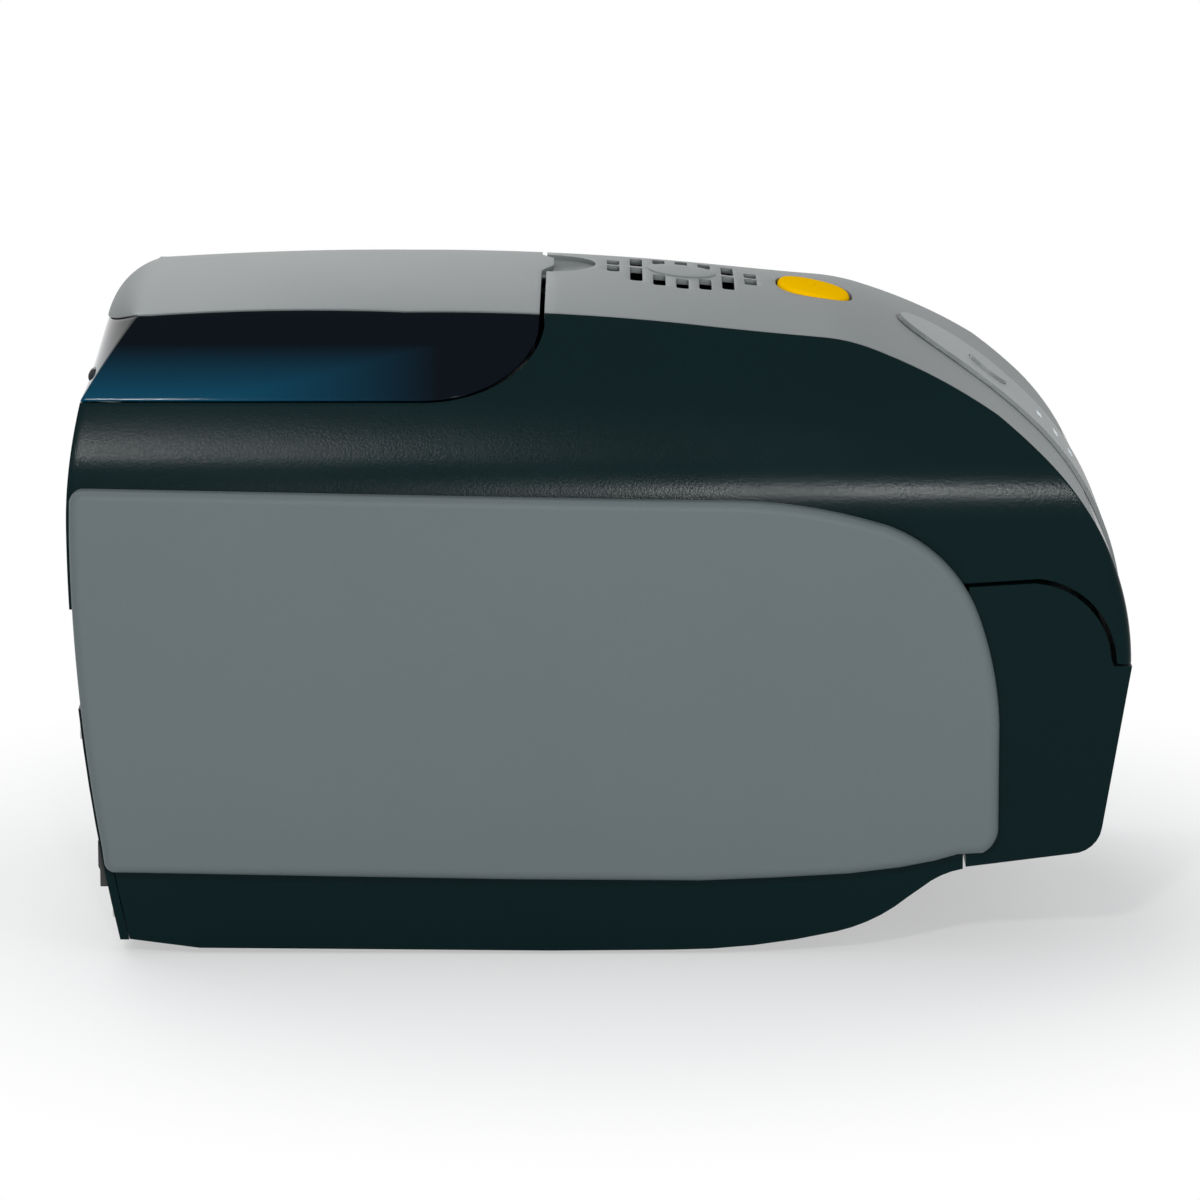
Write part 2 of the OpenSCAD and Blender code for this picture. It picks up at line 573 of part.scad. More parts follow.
module side_panel() {
    difference() {
        for (k = [0:edge_steps]) across_y(panel_in, panel_out - edge_round * (1 - sin(90 * k / edge_steps)))
            polygon(panel_line(edge_round * (1 - cos(90 * k / edge_steps))));
        across_y(panel_in - 1, panel_in + 3) polygon(panel_line(3));
    }
    for (p = panel_peg) rod(p[0], p[1], 4, base_half, panel_in + 3.2);
}
module right_side_panel() color([0.4, 0.44, 0.45]) side_panel();
module left_side_panel() color([0.4, 0.44, 0.45]) mirror([0, 1, 0]) side_panel();

inlet_y = -48;
inlet_z = 34;
usb_y = -14;
net_y = 12;
port_z = 34;
switch_y = -76;
module rear_panel() color([0.13, 0.15, 0.16]) difference() {
    across_y(-base_half, base_half) polygon(concat(rear_line(5.5, rear_panel_top, 6),
        [for (i = [6:-1:0]) let (z = 5.5 + (rear_panel_top - 5.5) * i / 6) [rear_x(z, rear_plate_t), z]]));
    block(-190, -150, inlet_y - 14.2, inlet_y + 14.2, inlet_z - 10.2, inlet_z + 10.2);
    block(-190, -150, usb_y - 6.7, usb_y + 6.7, port_z - 5.7, port_z + 5.7);
    block(-190, -150, net_y - 8.2, net_y + 8.2, port_z - 7.2, port_z + 7.2);
    block(-190, -150, switch_y - 7.3, switch_y + 7.3, inlet_z - 11.6, inlet_z + 11.6);
    for (z = screw_z, y = [-80, 80]) translate([rear_x(z) - 3, y, z]) rotate([0, 90, 0]) {
        cylinder(r = 1.45, h = 8);
        cylinder(r = 3.4, h = 3);
    }
}
port_x = rear_x(inlet_z) - 0.4;
module socket(y, z, w, h, deep, mouth_w, mouth_h) difference() {
    block(port_x, port_x + deep, y - w / 2, y + w / 2, z - h / 2, z + h / 2);
    block(port_x - 1, port_x + deep - 3, y - mouth_w / 2, y + mouth_w / 2, z - mouth_h / 2, z + mouth_h / 2);
}
module power_inlet() color([0.07, 0.07, 0.08]) {
    socket(inlet_y, inlet_z, 28, 20, 22, 22, 15);
    for (k = [-1:1]) let (y = inlet_y + k * 6.5, z = inlet_z + (k == 0 ? -1 : 1))
        block(port_x + 5, port_x + 20, y - 1, y + 1, z - 2, z + 2);
}
module usb_port() color([0.75, 0.76, 0.78]) {
    socket(usb_y, port_z, 13, 11, 16, 9, 7.5);
    block(port_x + 5, port_x + 14, usb_y - 2.8, usb_y + 2.8, port_z - 1.6, port_z + 1.6);
}
module network_port() color([0.75, 0.76, 0.78]) socket(net_y, port_z, 16, 14, 18, 12, 8);
switch_x = rear_x(inlet_z) + 4;
switch_pivot_r = 1.5;
module switch_frame() color([0.1, 0.1, 0.11]) {
    difference() {
        block(switch_x - 5.5, switch_x + 8, switch_y - 7.2, switch_y + 7.2, inlet_z - 11.5, inlet_z + 11.5);
        block(switch_x - 6, switch_x + 9, switch_y - 6.3, switch_y + 6.3, inlet_z - 10.7, inlet_z + 10.7);
    }
    rod(switch_x + 2, inlet_z, switch_pivot_r, switch_y - 6.8, switch_y + 6.8);
}
module power_switch() color([0.07, 0.07, 0.08]) difference() {
    intersection() {
        rod(switch_x + 6, inlet_z, 13, switch_y - 6, switch_y + 6);
        block(switch_x - 6.2, switch_x + 5, switch_y - 6, switch_y + 6, inlet_z - 9.6, inlet_z + 9.6);
    }
    rod(switch_x + 2, inlet_z, switch_pivot_r + run_gap, switch_y - 7, switch_y + 7);
}

// Front block with the tray that catches finished cards.
front_rear_x = 127;
tray_x = [93, nose_x - 7.6];
front_gap = 1.8;
front_outline = concat([[front_rear_x, 31.8], [163, 36.4]], arc([163.5, 47.3], 10.8, -75, -8, 5),
    [[nose_x, chin_z - 1.4], [chin_lip_x - 1, chin_z - 1.4]],
    arc(gap_centre, gap_r - front_gap, 3, 86, 8), [[front_rear_x, cover_edge_z - 1.4]]);
front_hollow = concat([[front_rear_x - 1, 34.5], [162, 39.2]], arc([163.5, 47.3], 10.8 - shell_t, -75, -8, 5),
    [[nose_x - 3, chin_z - 4], [nose_x - 11.6, chin_z - 4]],
    arc(gap_centre, gap_r - front_gap - shell_t, 3, 86, 8), [[front_rear_x - 1, cover_edge_z - 4]]);
tray_out = tray_half + tray_t;
module output_hopper() color([0.15, 0.17, 0.18]) {
    difference() {
        across_y(-wall_half, wall_half) polygon(front_outline);
        difference() {
            across_y(-wall_half + shell_t, wall_half - shell_t) polygon(front_hollow);
            block(front_rear_x - 2, nose_x + 6, -tray_out, tray_out, tray_z[0] - tray_t, tray_z[1] + 4);
        }
        block(front_rear_x - 2, nose_x + 6, -tray_half, tray_half, tray_z[0], tray_z[1]);
        translate([nose_x + 0.4, 0, tray_z[0] - 4]) rotate([90, 0, 90]) cylinder(r = 12, h = 30, center = true);
    }
    difference() {
        block(tray_x[0] - tray_t, front_rear_x + 0.5, -tray_out, tray_out, tray_z[0] - tray_t, tray_z[1] - 16);
        block(tray_x[0], front_rear_x + 1, -tray_half, tray_half, tray_z[0], tray_z[1]);
    }
}

// Inner frame.
roller_x = [-85, -40, head_x, 82];
rods_at = [[-140, 40], [-130, 84], [112, 112], [-60, 30], [60, 40]];
module frame_plate() difference() {
    across_y(plate_half, plate_half + plate_t)
        polygon([[-146, 22], [88, 22], [88, 78], [122, 104], [122, 120], [110, 128], [-146, 128]]);
    for (x = roller_x) rod(x, shaft_z, 4.5, plate_half - 1, plate_half + plate_t + 1);
    rod(motor_x, motor_z, 7, plate_half - 1, plate_half + plate_t + 1);
}
module left_frame_plate() color([0.7, 0.72, 0.74]) mirror([0, 1, 0]) frame_plate();
module right_frame_plate() color([0.7, 0.72, 0.74]) frame_plate();
module tie_rods() color([0.75, 0.76, 0.78]) for (p = rods_at) rod(p[0], p[1], 3, -plate_half, plate_half);
guide_half = card_w / 2 + 0.4;
guide_x = [hopper_x[1] + hopper_wall + 0.6, 90];
module card_guides() color([0.12, 0.12, 0.13]) both_sides() {
    difference() {
        block(guide_x[0], guide_x[1], guide_half - 2, guide_half + 3, 94.2, 100);
        block(guide_x[0] - 1, guide_x[1] + 1, guide_half - 3, guide_half, 96.4, 97.8);
        for (x = roller_x) block(x - 7, x + 7, guide_half - 3, guide_half - 1, 94, 101);
    }
    for (x = [-50, 20, 60]) block(x, x + 8, guide_half + 2.5, plate_half, 94.2, 96.2);
}
hopper_in = card_w / 2 + 0.6;
hopper_out = hopper_in + hopper_wall;
module input_hopper() color([0.14, 0.15, 0.16]) {
    both_sides() {
        block(hopper_x[0], hopper_x[1], hopper_in, hopper_out, 95, deck_z - 3);
        block(hopper_x[0], hopper_x[1], hopper_in - 6, hopper_in + 1, 95, 96.6);
        for (x = [-136, -78]) block(x, x + 8, hopper_in + 1.5, plate_half, 108, 112);
    }
    block(hopper_x[0] - hopper_wall, hopper_x[0], -hopper_out, hopper_out, 95, deck_z - 3);
    block(hopper_x[1], hopper_x[1] + hopper_wall, -hopper_out, hopper_out, 98.6, deck_z - 3);
}
module drive_motor() color([0.35, 0.36, 0.38]) difference() {
    union() {
        rod(motor_x, motor_z, motor_r, 4, plate_half);
        rod(motor_x, motor_z, 6, plate_half - 1, plate_half + plate_t);
    }
    rod(motor_x, motor_z, 2.5 + run_gap, 20, 50);
}
belt_y = [47, 55];
module pulley(x, z, bore) difference() {
    union() {
        rod(x, z, pulley_r, belt_y[0], belt_y[1]);
        rod(x, z, pulley_r + 2, belt_y[0] - 1, belt_y[0] + 0.2);
        rod(x, z, pulley_r + 2, belt_y[1] + 0.8, belt_y[1] + 2);
        rod(x, z, pulley_r, belt_y[1] - 0.5, belt_y[1] + 1);
    }
    if (bore) rod(x, z, shaft_r, belt_y[0] - 2, belt_y[1] + 3);
}
module belt_line(grow) hull() for (p = [[roller_x[0], shaft_z], [roller_x[3], shaft_z], [motor_x, motor_z]])
    translate(p) circle(r = pulley_r + grow, $fn = 32);
module drive_belt() color([0.09, 0.09, 0.09]) across_y(belt_y[0] + 0.6, belt_y[1] - 0.2) difference() {
    belt_line(1.6);
    belt_line(0.3);
}
module motor_pulley() color([0.85, 0.85, 0.82]) {
    pulley(motor_x, motor_z, false);
    rod(motor_x, motor_z, 2.5, 21, belt_y[0]);
}
module sleeve(x, half) difference() {
    rod(x, shaft_z, roller_r, -half, half);
    rod(x, shaft_z, shaft_r, -half - 1, half + 1);
}
module shaft(x) rod(x, shaft_z, shaft_r, -plate_half - plate_t - 1.5, belt_y[1] + 2);
module pick_roller() color([0.12, 0.12, 0.12]) sleeve(roller_x[0], 12);
module pick_shaft() color([0.75, 0.76, 0.78]) shaft(roller_x[0]);
module pick_pulley() color([0.85, 0.85, 0.82]) pulley(roller_x[0], shaft_z, true);
module feed_roller() color([0.45, 0.45, 0.47]) sleeve(roller_x[1], 25);
module feed_shaft() color([0.75, 0.76, 0.78]) shaft(roller_x[1]);
module feed_pulley() color([0.85, 0.85, 0.82]) pulley(roller_x[1], shaft_z, true);
module platen_roller() color([0.12, 0.12, 0.12]) sleeve(roller_x[2], 25);
module platen_shaft() color([0.75, 0.76, 0.78]) shaft(roller_x[2]);
module platen_pulley() color([0.85, 0.85, 0.82]) pulley(roller_x[2], shaft_z, true);
module exit_roller() color([0.45, 0.45, 0.47]) sleeve(roller_x[3], 25);
module exit_shaft() color([0.75, 0.76, 0.78]) shaft(roller_x[3]);
module exit_pulley() color([0.85, 0.85, 0.82]) pulley(roller_x[3], shaft_z, true);
module roller_bushes() color([0.85, 0.7, 0.4]) both_sides() for (x = roller_x) difference() {
    rod(x, shaft_z, 4.5, plate_half, plate_half + plate_t);
    rod(x, shaft_z, shaft_r + run_gap, plate_half - 1, plate_half + plate_t + 1);
}
board_y = -66;
module main_board() color([0.05, 0.3, 0.15]) block(-130, 50, board_y, board_y + 1.6, 30, 118);
module board_standoffs() color([0.8, 0.7, 0.4]) for (x = [-122, 42], z = [36, 112])
    rod(x, z, 3, board_y + 1.6, -plate_half - plate_t);
module board_parts() color([0.1, 0.1, 0.11]) {
    for (k = [0:2]) block(-100 + k * 44, -76 + k * 44, board_y - 3, board_y, 72, 96);
    for (k = [0:6]) block(-118 + k * 20, -106 + k * 20, board_y - 8, board_y, 104, 111);
    for (k = [0:4]) rod(-112 + k * 16, 50, 5, board_y - 14, board_y);
}
catch_x = 89;
module latch_catch() color([0.7, 0.72, 0.74]) {
    both_sides() block(catch_x, catch_x + 2, 30, plate_half, 126, 152);
    both_sides() block(catch_x, catch_x + 14, plate_half - 2, plate_half, 110, 130);
    block(catch_x, catch_x + 2, -31, 31, 145, 152);
}
module card_sensor() color([0.1, 0.1, 0.11]) {
    block(-12, -4, -8, 8, 83, 94);
    block(-12, -4, -plate_half, plate_half, 80, 83.2);
}
cassette_y = [35, 37];
module ribbon_cassette() color([0.8, 0.82, 0.84]) {
    both_sides() difference() {
        union() {
            across_y(cassette_y[0], cassette_y[1]) polygon([[-10, 122], [20, 122], [20, 132], [62, 132],
                [62, 122], [84, 122], [84, 140], [60, 141.5], [20, 143], [-10, 146]]);
            for (x = [-8, 64]) block(x, x + 10, cassette_y[0], plate_half + plate_t, 128, 130.5);
        }
        for (x = spool_x) rod(x, spool_z, 4 + run_gap, cassette_y[0] - 1, cassette_y[1] + 1);
    }
    for (x = [-10, 20]) block(x, x + 2.5, -cassette_y[1], cassette_y[1], 122 + (x > 0 ? 16 : 20), 143);
}
roll_r = [13, 8];
module core(x) {
    rod(x, spool_z, core_r, -33, 33);
    both_sides() rod(x, spool_z, 4, 32.5, cassette_y[1] + 1);
}
module supply_core() color([0.9, 0.9, 0.9]) core(spool_x[0]);
module takeup_core() color([0.9, 0.9, 0.9]) core(spool_x[1]);
module film_roll(x, r) difference() {
    rod(x, spool_z, r, -29, 29);
    rod(x, spool_z, core_r, -30, 30);
}
module supply_roll() color([0.1, 0.1, 0.4]) film_roll(spool_x[0], roll_r[0]);
module takeup_roll() color([0.1, 0.1, 0.4]) film_roll(spool_x[1], roll_r[1]);
web_t = 0.4;
web_z = [spool_z - roll_r[0] - 0.8, 102.6, spool_z - roll_r[1] - 2];
module ribbon_web() color([0.2, 0.1, 0.35]) across_y(-28, 28) polygon([
    [spool_x[0] - 2, web_z[0]], [spool_x[0] + 4, web_z[0]], [head_x - 9, web_z[1]], [head_x + 10, web_z[1]],
    [spool_x[1] + 6, web_z[2]], [spool_x[1] + 6, web_z[2] + web_t], [head_x + 9, web_z[1] + web_t],
    [head_x - 8, web_z[1] + web_t], [spool_x[0] + 4, web_z[0] + web_t], [spool_x[0] - 2, web_z[0] + web_t]]);

base_case();
left_side_panel();
right_side_panel();
rear_panel();
output_hopper();
left_frame_plate();
right_frame_plate();
tie_rods();
card_guides();
input_hopper();
drive_motor();
main_board();
board_parts();
board_standoffs();
power_inlet();
usb_port();
network_port();
roller_bushes();
feet();
base_screws();
hinge_pins();
drive_belt();
latch_catch();
card_sensor();
ribbon_cassette();
ribbon_web();
pick_roller();
pick_shaft();
pick_pulley();
feed_roller();
feed_shaft();
feed_pulley();
platen_roller();
platen_shaft();
platen_pulley();
exit_roller();
exit_shaft();
exit_pulley();
motor_pulley();
supply_core();
supply_roll();
takeup_core();
takeup_roll();
power_switch();
switch_frame();
cover_shell();
cover_top();
control_panel();
hopper_deck();
head_carrier();
print_head();
fan_frame();
status_lights();
lid_pins();
fan_rotor();
release_button();
latch_hook();
control_button();
lid_top();
lid_window();
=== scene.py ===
import json
import math
import bmesh
import bpy
import numpy as np
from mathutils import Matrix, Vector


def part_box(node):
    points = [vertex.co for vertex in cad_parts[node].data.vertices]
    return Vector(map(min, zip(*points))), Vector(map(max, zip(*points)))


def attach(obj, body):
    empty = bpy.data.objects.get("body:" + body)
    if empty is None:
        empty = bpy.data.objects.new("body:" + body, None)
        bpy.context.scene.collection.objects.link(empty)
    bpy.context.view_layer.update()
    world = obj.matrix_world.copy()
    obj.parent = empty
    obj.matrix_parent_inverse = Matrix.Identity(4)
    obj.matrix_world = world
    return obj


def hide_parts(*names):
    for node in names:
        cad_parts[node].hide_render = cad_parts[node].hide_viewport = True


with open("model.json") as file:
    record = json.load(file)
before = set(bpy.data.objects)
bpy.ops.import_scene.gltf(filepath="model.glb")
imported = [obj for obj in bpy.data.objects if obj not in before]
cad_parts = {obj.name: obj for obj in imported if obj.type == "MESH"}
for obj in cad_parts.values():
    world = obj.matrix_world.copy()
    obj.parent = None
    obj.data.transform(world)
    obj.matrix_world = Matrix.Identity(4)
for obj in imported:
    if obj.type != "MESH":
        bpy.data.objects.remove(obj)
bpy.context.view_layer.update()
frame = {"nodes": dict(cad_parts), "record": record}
mm = 0.001
print("frame loaded")

# The case profile on the middle plane, the same arcs as the solids are made of, in millimetres.
caseShape = {
    "topX": -67, "topZ": 231, "topR": 944, "kneeR": 70, "browR": 200, "noseR": 101,
    "rearR": 18, "rearTurn": -5.4, "kneeTurn": 8.8, "browTurn": 24, "noseTurn": 44,
    "crownDrop": 8.7, "dropEndX": 137, "dropLong": 100, "frontFade": 0.0012, "rearFade": 0.004,
    "wallHalf": 91.5, "leanZ": 155, "leanR": 60, "leanTurn": 21, "upperR": 162,
    "waistX": -183.4, "waistZ": 152, "rearLowR": 666, "rearHighR": 190, "stripEnd": 60.7,
    "lidFront": -19.5, "lidEdge": 194.2, "seam": 0.7, "bayX": -61, "bayZ": 221,
    "coverEdge": 132.5, "coverRear": 123.3, "gapX": 148, "gapZ": 104, "gapR": 30.3,
}
lean = math.radians(caseShape["leanTurn"])
leanY = caseShape["wallHalf"] - caseShape["leanR"]
upperY = leanY + (caseShape["leanR"] - caseShape["upperR"]) * math.cos(lean)
upperZ = caseShape["leanZ"] + (caseShape["leanR"] - caseShape["upperR"]) * math.sin(lean)


def normalAt(a):
    # unit normal of the profile where its slope angle is a degrees
    a = np.radians(a)
    return np.stack([np.sin(a), np.cos(a)], -1)


def arcCentres():
    # each arc's centre lies on the normal that it shares with the arc before it
    c = caseShape
    top = np.array([c["topX"], c["topZ"] - c["topR"]], float)
    rear = top + (c["topR"] - c["rearR"]) * normalAt(c["rearTurn"])
    knee = top + (c["topR"] - c["kneeR"]) * normalAt(c["kneeTurn"])
    brow = knee + (c["kneeR"] - c["browR"]) * normalAt(c["browTurn"])
    nose = brow + (c["browR"] - c["noseR"]) * normalAt(c["noseTurn"])
    return np.array([rear, top, knee, brow, nose])


centres = arcCentres()
radii = np.array([caseShape[k] for k in ("rearR", "topR", "kneeR", "browR", "noseR")], float)
turns = np.array([caseShape[k] for k in ("rearTurn", "kneeTurn", "browTurn", "noseTurn")], float)


def profile(a, inset=0.0):
    # point of the profile with slope angle a: the arc's centre plus its radius along the normal
    a = np.asarray(a, float)
    k = np.searchsorted(turns, a, side="right")
    return centres[k] + (radii[k] - inset)[..., None] * normalAt(a)


def topAngle(x):
    # slope angle at x on the wide top arc: the arc sine of the way from its middle over its radius
    return np.degrees(np.arcsin((np.asarray(x, float) - caseShape["topX"]) / caseShape["topR"]))


def wallAt(z):
    # half width of the side wall: upright, then an arc of leanR, then a wider arc
    z = np.asarray(z, float)
    c = caseShape
    low = leanY + np.sqrt(np.maximum(c["leanR"] ** 2 - np.maximum(z - c["leanZ"], 0) ** 2, 0))
    high = upperY + np.sqrt(np.maximum(c["upperR"] ** 2 - (z - upperZ) ** 2, 0))
    return np.where(z < c["leanZ"] + c["leanR"] * math.sin(lean), low, high)


def rearX(z):
    # the rear wall: a wide arc below the waist and a tighter one above, both upright at the waist
    z = np.asarray(z, float)
    c = caseShape
    r = np.where(z < c["waistZ"], c["rearLowR"], c["rearHighR"])
    return c["waistX"] + r - np.sqrt(r ** 2 - (z - c["waistZ"]) ** 2)


def dropAt(a):
    # how far the crease lies below the middle: a quarter sine towards the nose times a slow fade
    c = caseShape
    x = profile(a)[..., 0]
    front = np.sin(np.pi / 2 * np.clip((c["dropEndX"] - x) / c["dropLong"], 0, 1))
    slow = 1 - np.maximum(c["frontFade"] * (x - c["topX"]), c["rearFade"] * (c["topX"] - x))
    return c["crownDrop"] * front * slow


rearCreaseZ = profile(caseShape["rearTurn"])[1] - dropAt(caseShape["rearTurn"])


def crownPoint(a, u):
    # profile lowered along its normal by drop times u squared, at u times the crease's half width;
    # behind the rear turn the rounding dies out towards the crease, which stays level
    a, u = np.broadcast_arrays(np.asarray(a, float), np.asarray(u, float))
    p = profile(a, dropAt(a) * u ** 2)
    crease = profile(a, dropAt(a))
    behind = a < caseShape["rearTurn"]
    q = profile(a)
    level = (1 - u ** 2) * q[..., 1] + u ** 2 * rearCreaseZ
    x = np.where(behind, q[..., 0], p[..., 0])
    z = np.where(behind, level, p[..., 1])
    half = wallAt(np.where(behind, rearCreaseZ, crease[..., 1]))
    return np.stack([x, u * half, z], -1)


def creaseLine(a):
    # the crown's edge: the profile lowered by the whole drop
    return profile(a, dropAt(a))


def bayArc(a, b, n, end=-7):
    # quarter ellipse at the front of the lid's bay, a along X and b along Z
    t = np.radians(np.linspace(-90, end, n))
    return np.stack([caseShape["bayX"] + a * np.cos(t), caseShape["bayZ"] + b * np.sin(t)], -1)


def arcLine(cx, cz, r, a0, a1, n):
    # n points of a circle about (cx, cz), from angle a0 to a1
    a = np.radians(np.linspace(a0, a1, n))
    return np.stack([cx + r * np.cos(a), cz + r * np.sin(a)], -1)


def resample(points, n):
    # n points at equal steps along a polyline
    points = np.asarray(points, float)
    s = np.concatenate([[0], np.cumsum(np.linalg.norm(np.diff(points, axis=0), axis=1))])
    t = np.linspace(0, s[-1], n)
    return np.stack([np.interp(t, s, points[:, k]) for k in range(points.shape[1])], -1)


def ruled(low, top, rows):
    # x and z of straight lines from each point of low to its partner on top
    t = np.linspace(0, 1, rows)[:, None]
    return low[:, 0] * (1 - t) + top[:, 0] * t, low[:, 1] * (1 - t) + top[:, 1] * t


def gridFaces(rows, cols, start=0, loop=False):
    # quads between neighbouring rows and columns of a grid of points
    i, j = np.meshgrid(np.arange(rows - 1), np.arange(cols if loop else cols - 1), indexing="ij")
    k = (j + 1) % cols
    a, b = i * cols + j, i * cols + k
    c, d = (i + 1) * cols + k, (i + 1) * cols + j
    return (np.stack([a, b, c, d], -1) + start).reshape(-1, 4)


def meshObject(name, points, faces):
    mesh = bpy.data.meshes.new(name)
    points = np.asarray(points, float).reshape(-1, 3) * mm
    mesh.from_pydata(points.tolist(), [], [list(map(int, f)) for f in faces])
    mesh.validate()
    piece = bpy.data.objects.new(name, mesh)
    bpy.context.scene.collection.objects.link(piece)
    mesh.shade_smooth()
    return piece


def gridObject(name, grids):
    # one mesh from several grids of points, each rows x cols x 3
    points, faces, start = [], [], 0
    for g in grids:
        faces.append(gridFaces(g.shape[0], g.shape[1], start))
        points.append(g.reshape(-1, 3))
        start += g.shape[0] * g.shape[1]
    return meshObject(name, np.concatenate(points), np.concatenate(faces))


sheetMerge, skinMerge, ringMerge, cutMerge = 0.02, 0.03, 0.001, 0.0001  # doubles closer than this merge
wallLimit, smoothLimit = 50, 40  # degrees between faces: bevelled above one, sharp above the other


def tidyMesh(piece, merge=sheetMerge):
    # doubles merged and faces turned outwards
    work = bmesh.new()
    work.from_mesh(piece.data)
    bmesh.ops.remove_doubles(work, verts=work.verts, dist=merge * mm)
    bmesh.ops.recalc_face_normals(work, faces=work.faces)
    work.to_mesh(piece.data)
    work.free()
    piece.data.shade_smooth()


def turnUp(piece, middle=False):
    # an open sheet's faces are turned up, judged by its first or its middle face
    faces = piece.data.polygons
    if faces[len(faces) // 2 if middle else 0].normal.z < 0:
        piece.data.flip_normals()


def addSolid(piece, thickness):
    m = piece.modifiers.new("wall", "SOLIDIFY")
    m.thickness = thickness * mm
    m.offset = -1
    m.use_even_offset = False


def addBevel(piece, width, segments, limit):
    m = piece.modifiers.new("edge", "BEVEL")
    m.width = width * mm
    m.segments = segments
    m.limit_method = "ANGLE"
    m.angle_limit = math.radians(limit)
    m.harden_normals = False
    m.use_clamp_overlap = True


def cutWith(piece, cutters):
    for c in cutters:
        m = piece.modifiers.new("cut", "BOOLEAN")
        m.operation = "DIFFERENCE"
        m.solver = "EXACT"
        m.object = c


def applyAll(piece, cutters=()):
    # the modifiers' result becomes the mesh, and the cutters go
    graph = bpy.context.evaluated_depsgraph_get()
    mesh = bpy.data.meshes.new_from_object(piece.evaluated_get(graph))
    old = piece.data
    piece.modifiers.clear()
    piece.data = mesh
    bpy.data.meshes.remove(old)
    for c in cutters:
        bpy.data.objects.remove(c)


def smoothByAngle(piece, angle=32):
    piece.data.shade_smooth()
    piece.data.set_sharp_from_angle(angle=math.radians(angle))


def thicken(piece, plan, segments, cutters=()):
    # a sheet becomes a wall, loses the cutters' shapes and gets soft edges
    addSolid(piece, plan["wall"])
    if cutters:
        cutWith(piece, cutters)
        applyAll(piece, cutters)
    addBevel(piece, plan["edge"], segments, wallLimit)
    applyAll(piece)
    smoothByAngle(piece, smoothLimit)


def prism(name, cx, cy, cz, outline, z0, z1, tilt=0.0):
    # an XY outline carried from z0 to z1, turned about Y by tilt and set at cx, cy, cz
    outline = np.asarray(outline, float)
    n = len(outline)
    low = np.column_stack([outline, np.full(n, z0)])
    high = np.column_stack([outline, np.full(n, z1)])
    p = np.concatenate([low, high])
    s, c = math.sin(math.radians(tilt)), math.cos(math.radians(tilt))
    p = np.stack([cx + p[:, 0] * c + p[:, 2] * s, cy + p[:, 1], cz - p[:, 0] * s + p[:, 2] * c], -1)
    faces = gridFaces(2, n, loop=True).tolist() + [list(range(n))[::-1], [n + i for i in range(n)]]
    piece = meshObject(name, p, faces)
    tidyMesh(piece, cutMerge)
    return piece


def circle(r, n):
    # n points, the last one 3 degrees short of the first
    return arcLine(0, 0, r, 0, 357, n)


def roundRect(halfX, halfY, r, n=6):
    # a rectangle with round corners, as corner arcs joined by straight sides
    x, y = halfX - r, halfY - r
    corners = [(x, y, 0), (-x, y, 90), (-x, -y, 180), (x, -y, 270)]
    return np.concatenate([arcLine(cx, cy, r, a, a + 90, n) for cx, cy, a in corners])


def superOval(a, b, power, n=72):
    # |x/a|^power + |y/b|^power = 1
    t = np.radians(np.linspace(0, 360, n, endpoint=False))
    c, s = np.cos(t), np.sin(t)
    r = (np.abs(c) ** power + np.abs(s) ** power) ** (-1 / power)
    return np.stack([a * c * r, b * s * r], -1)


def ringSolid(name, outline, levels, place):
    # rings of one outline, each inset by its own amount at its own level, closed by flat ends
    outline = np.asarray(outline, float)
    ahead, behind = np.roll(outline, -1, 0) - outline, outline - np.roll(outline, 1, 0)
    t = ahead / np.linalg.norm(ahead, axis=1)[:, None] + behind / np.linalg.norm(behind, axis=1)[:, None]
    t /= np.linalg.norm(t, axis=1)[:, None]
    inward = np.stack([-t[:, 1], t[:, 0]], -1)
    n = len(outline)
    rings = np.array([place(outline + inward * inset, np.full(n, level)) for inset, level in levels])
    faces = gridFaces(len(levels), n, loop=True).tolist()
    faces.append(list(range(n))[::-1])
    faces.append([(len(levels) - 1) * n + i for i in range(n)])
    piece = meshObject(name, rings.reshape(-1, 3), faces)
    tidyMesh(piece, ringMerge)
    return piece


def roundLevels(start, end, r, n=6):
    # levels from start to end whose last stretch rounds over by r, as a quarter circle
    a = np.radians(np.linspace(0, 90, n + 1))
    way = 1 if end > start else -1
    return [(0, start)] + [(r * (1 - math.cos(k)), end - way * r * (1 - math.sin(k))) for k in a]


def upright(p, y):
    # an XZ outline set at one Y
    return np.stack([p[:, 0], y, p[:, 1]], -1)


# materials: one shared grain, and one row of values for each finish
def addGroup(name, inputs, outputs):
    group = bpy.data.node_groups.new(name, "ShaderNodeTree")
    for label, kind, value in inputs:
        group.interface.new_socket(label, in_out="INPUT", socket_type=kind).default_value = value
    for label, kind in outputs:
        group.interface.new_socket(label, in_out="OUTPUT", socket_type=kind)
    return group, group.nodes.new("NodeGroupInput"), group.nodes.new("NodeGroupOutput")


def mathNode(nodes, links, operation, *values):
    # a Math node fed with sockets or plain numbers
    node = nodes.new("ShaderNodeMath")
    node.operation = operation
    for k, value in enumerate(values):
        if isinstance(value, float):
            node.inputs[k].default_value = value
        else:
            links.new(value, node.inputs[k])
    return node.outputs[0]


def noiseNode(nodes, links, coord, **values):
    node = nodes.new("ShaderNodeTexNoise")
    for label, value in values.items():
        node.inputs[label].default_value = value
    links.new(coord.outputs["Object"], node.inputs["Vector"])
    return node


grainPlan = {"fineDetail": 3, "fineRough": 0.6, "broadScale": 14, "broadDetail": 5, "bumpDeep": 0.0004}


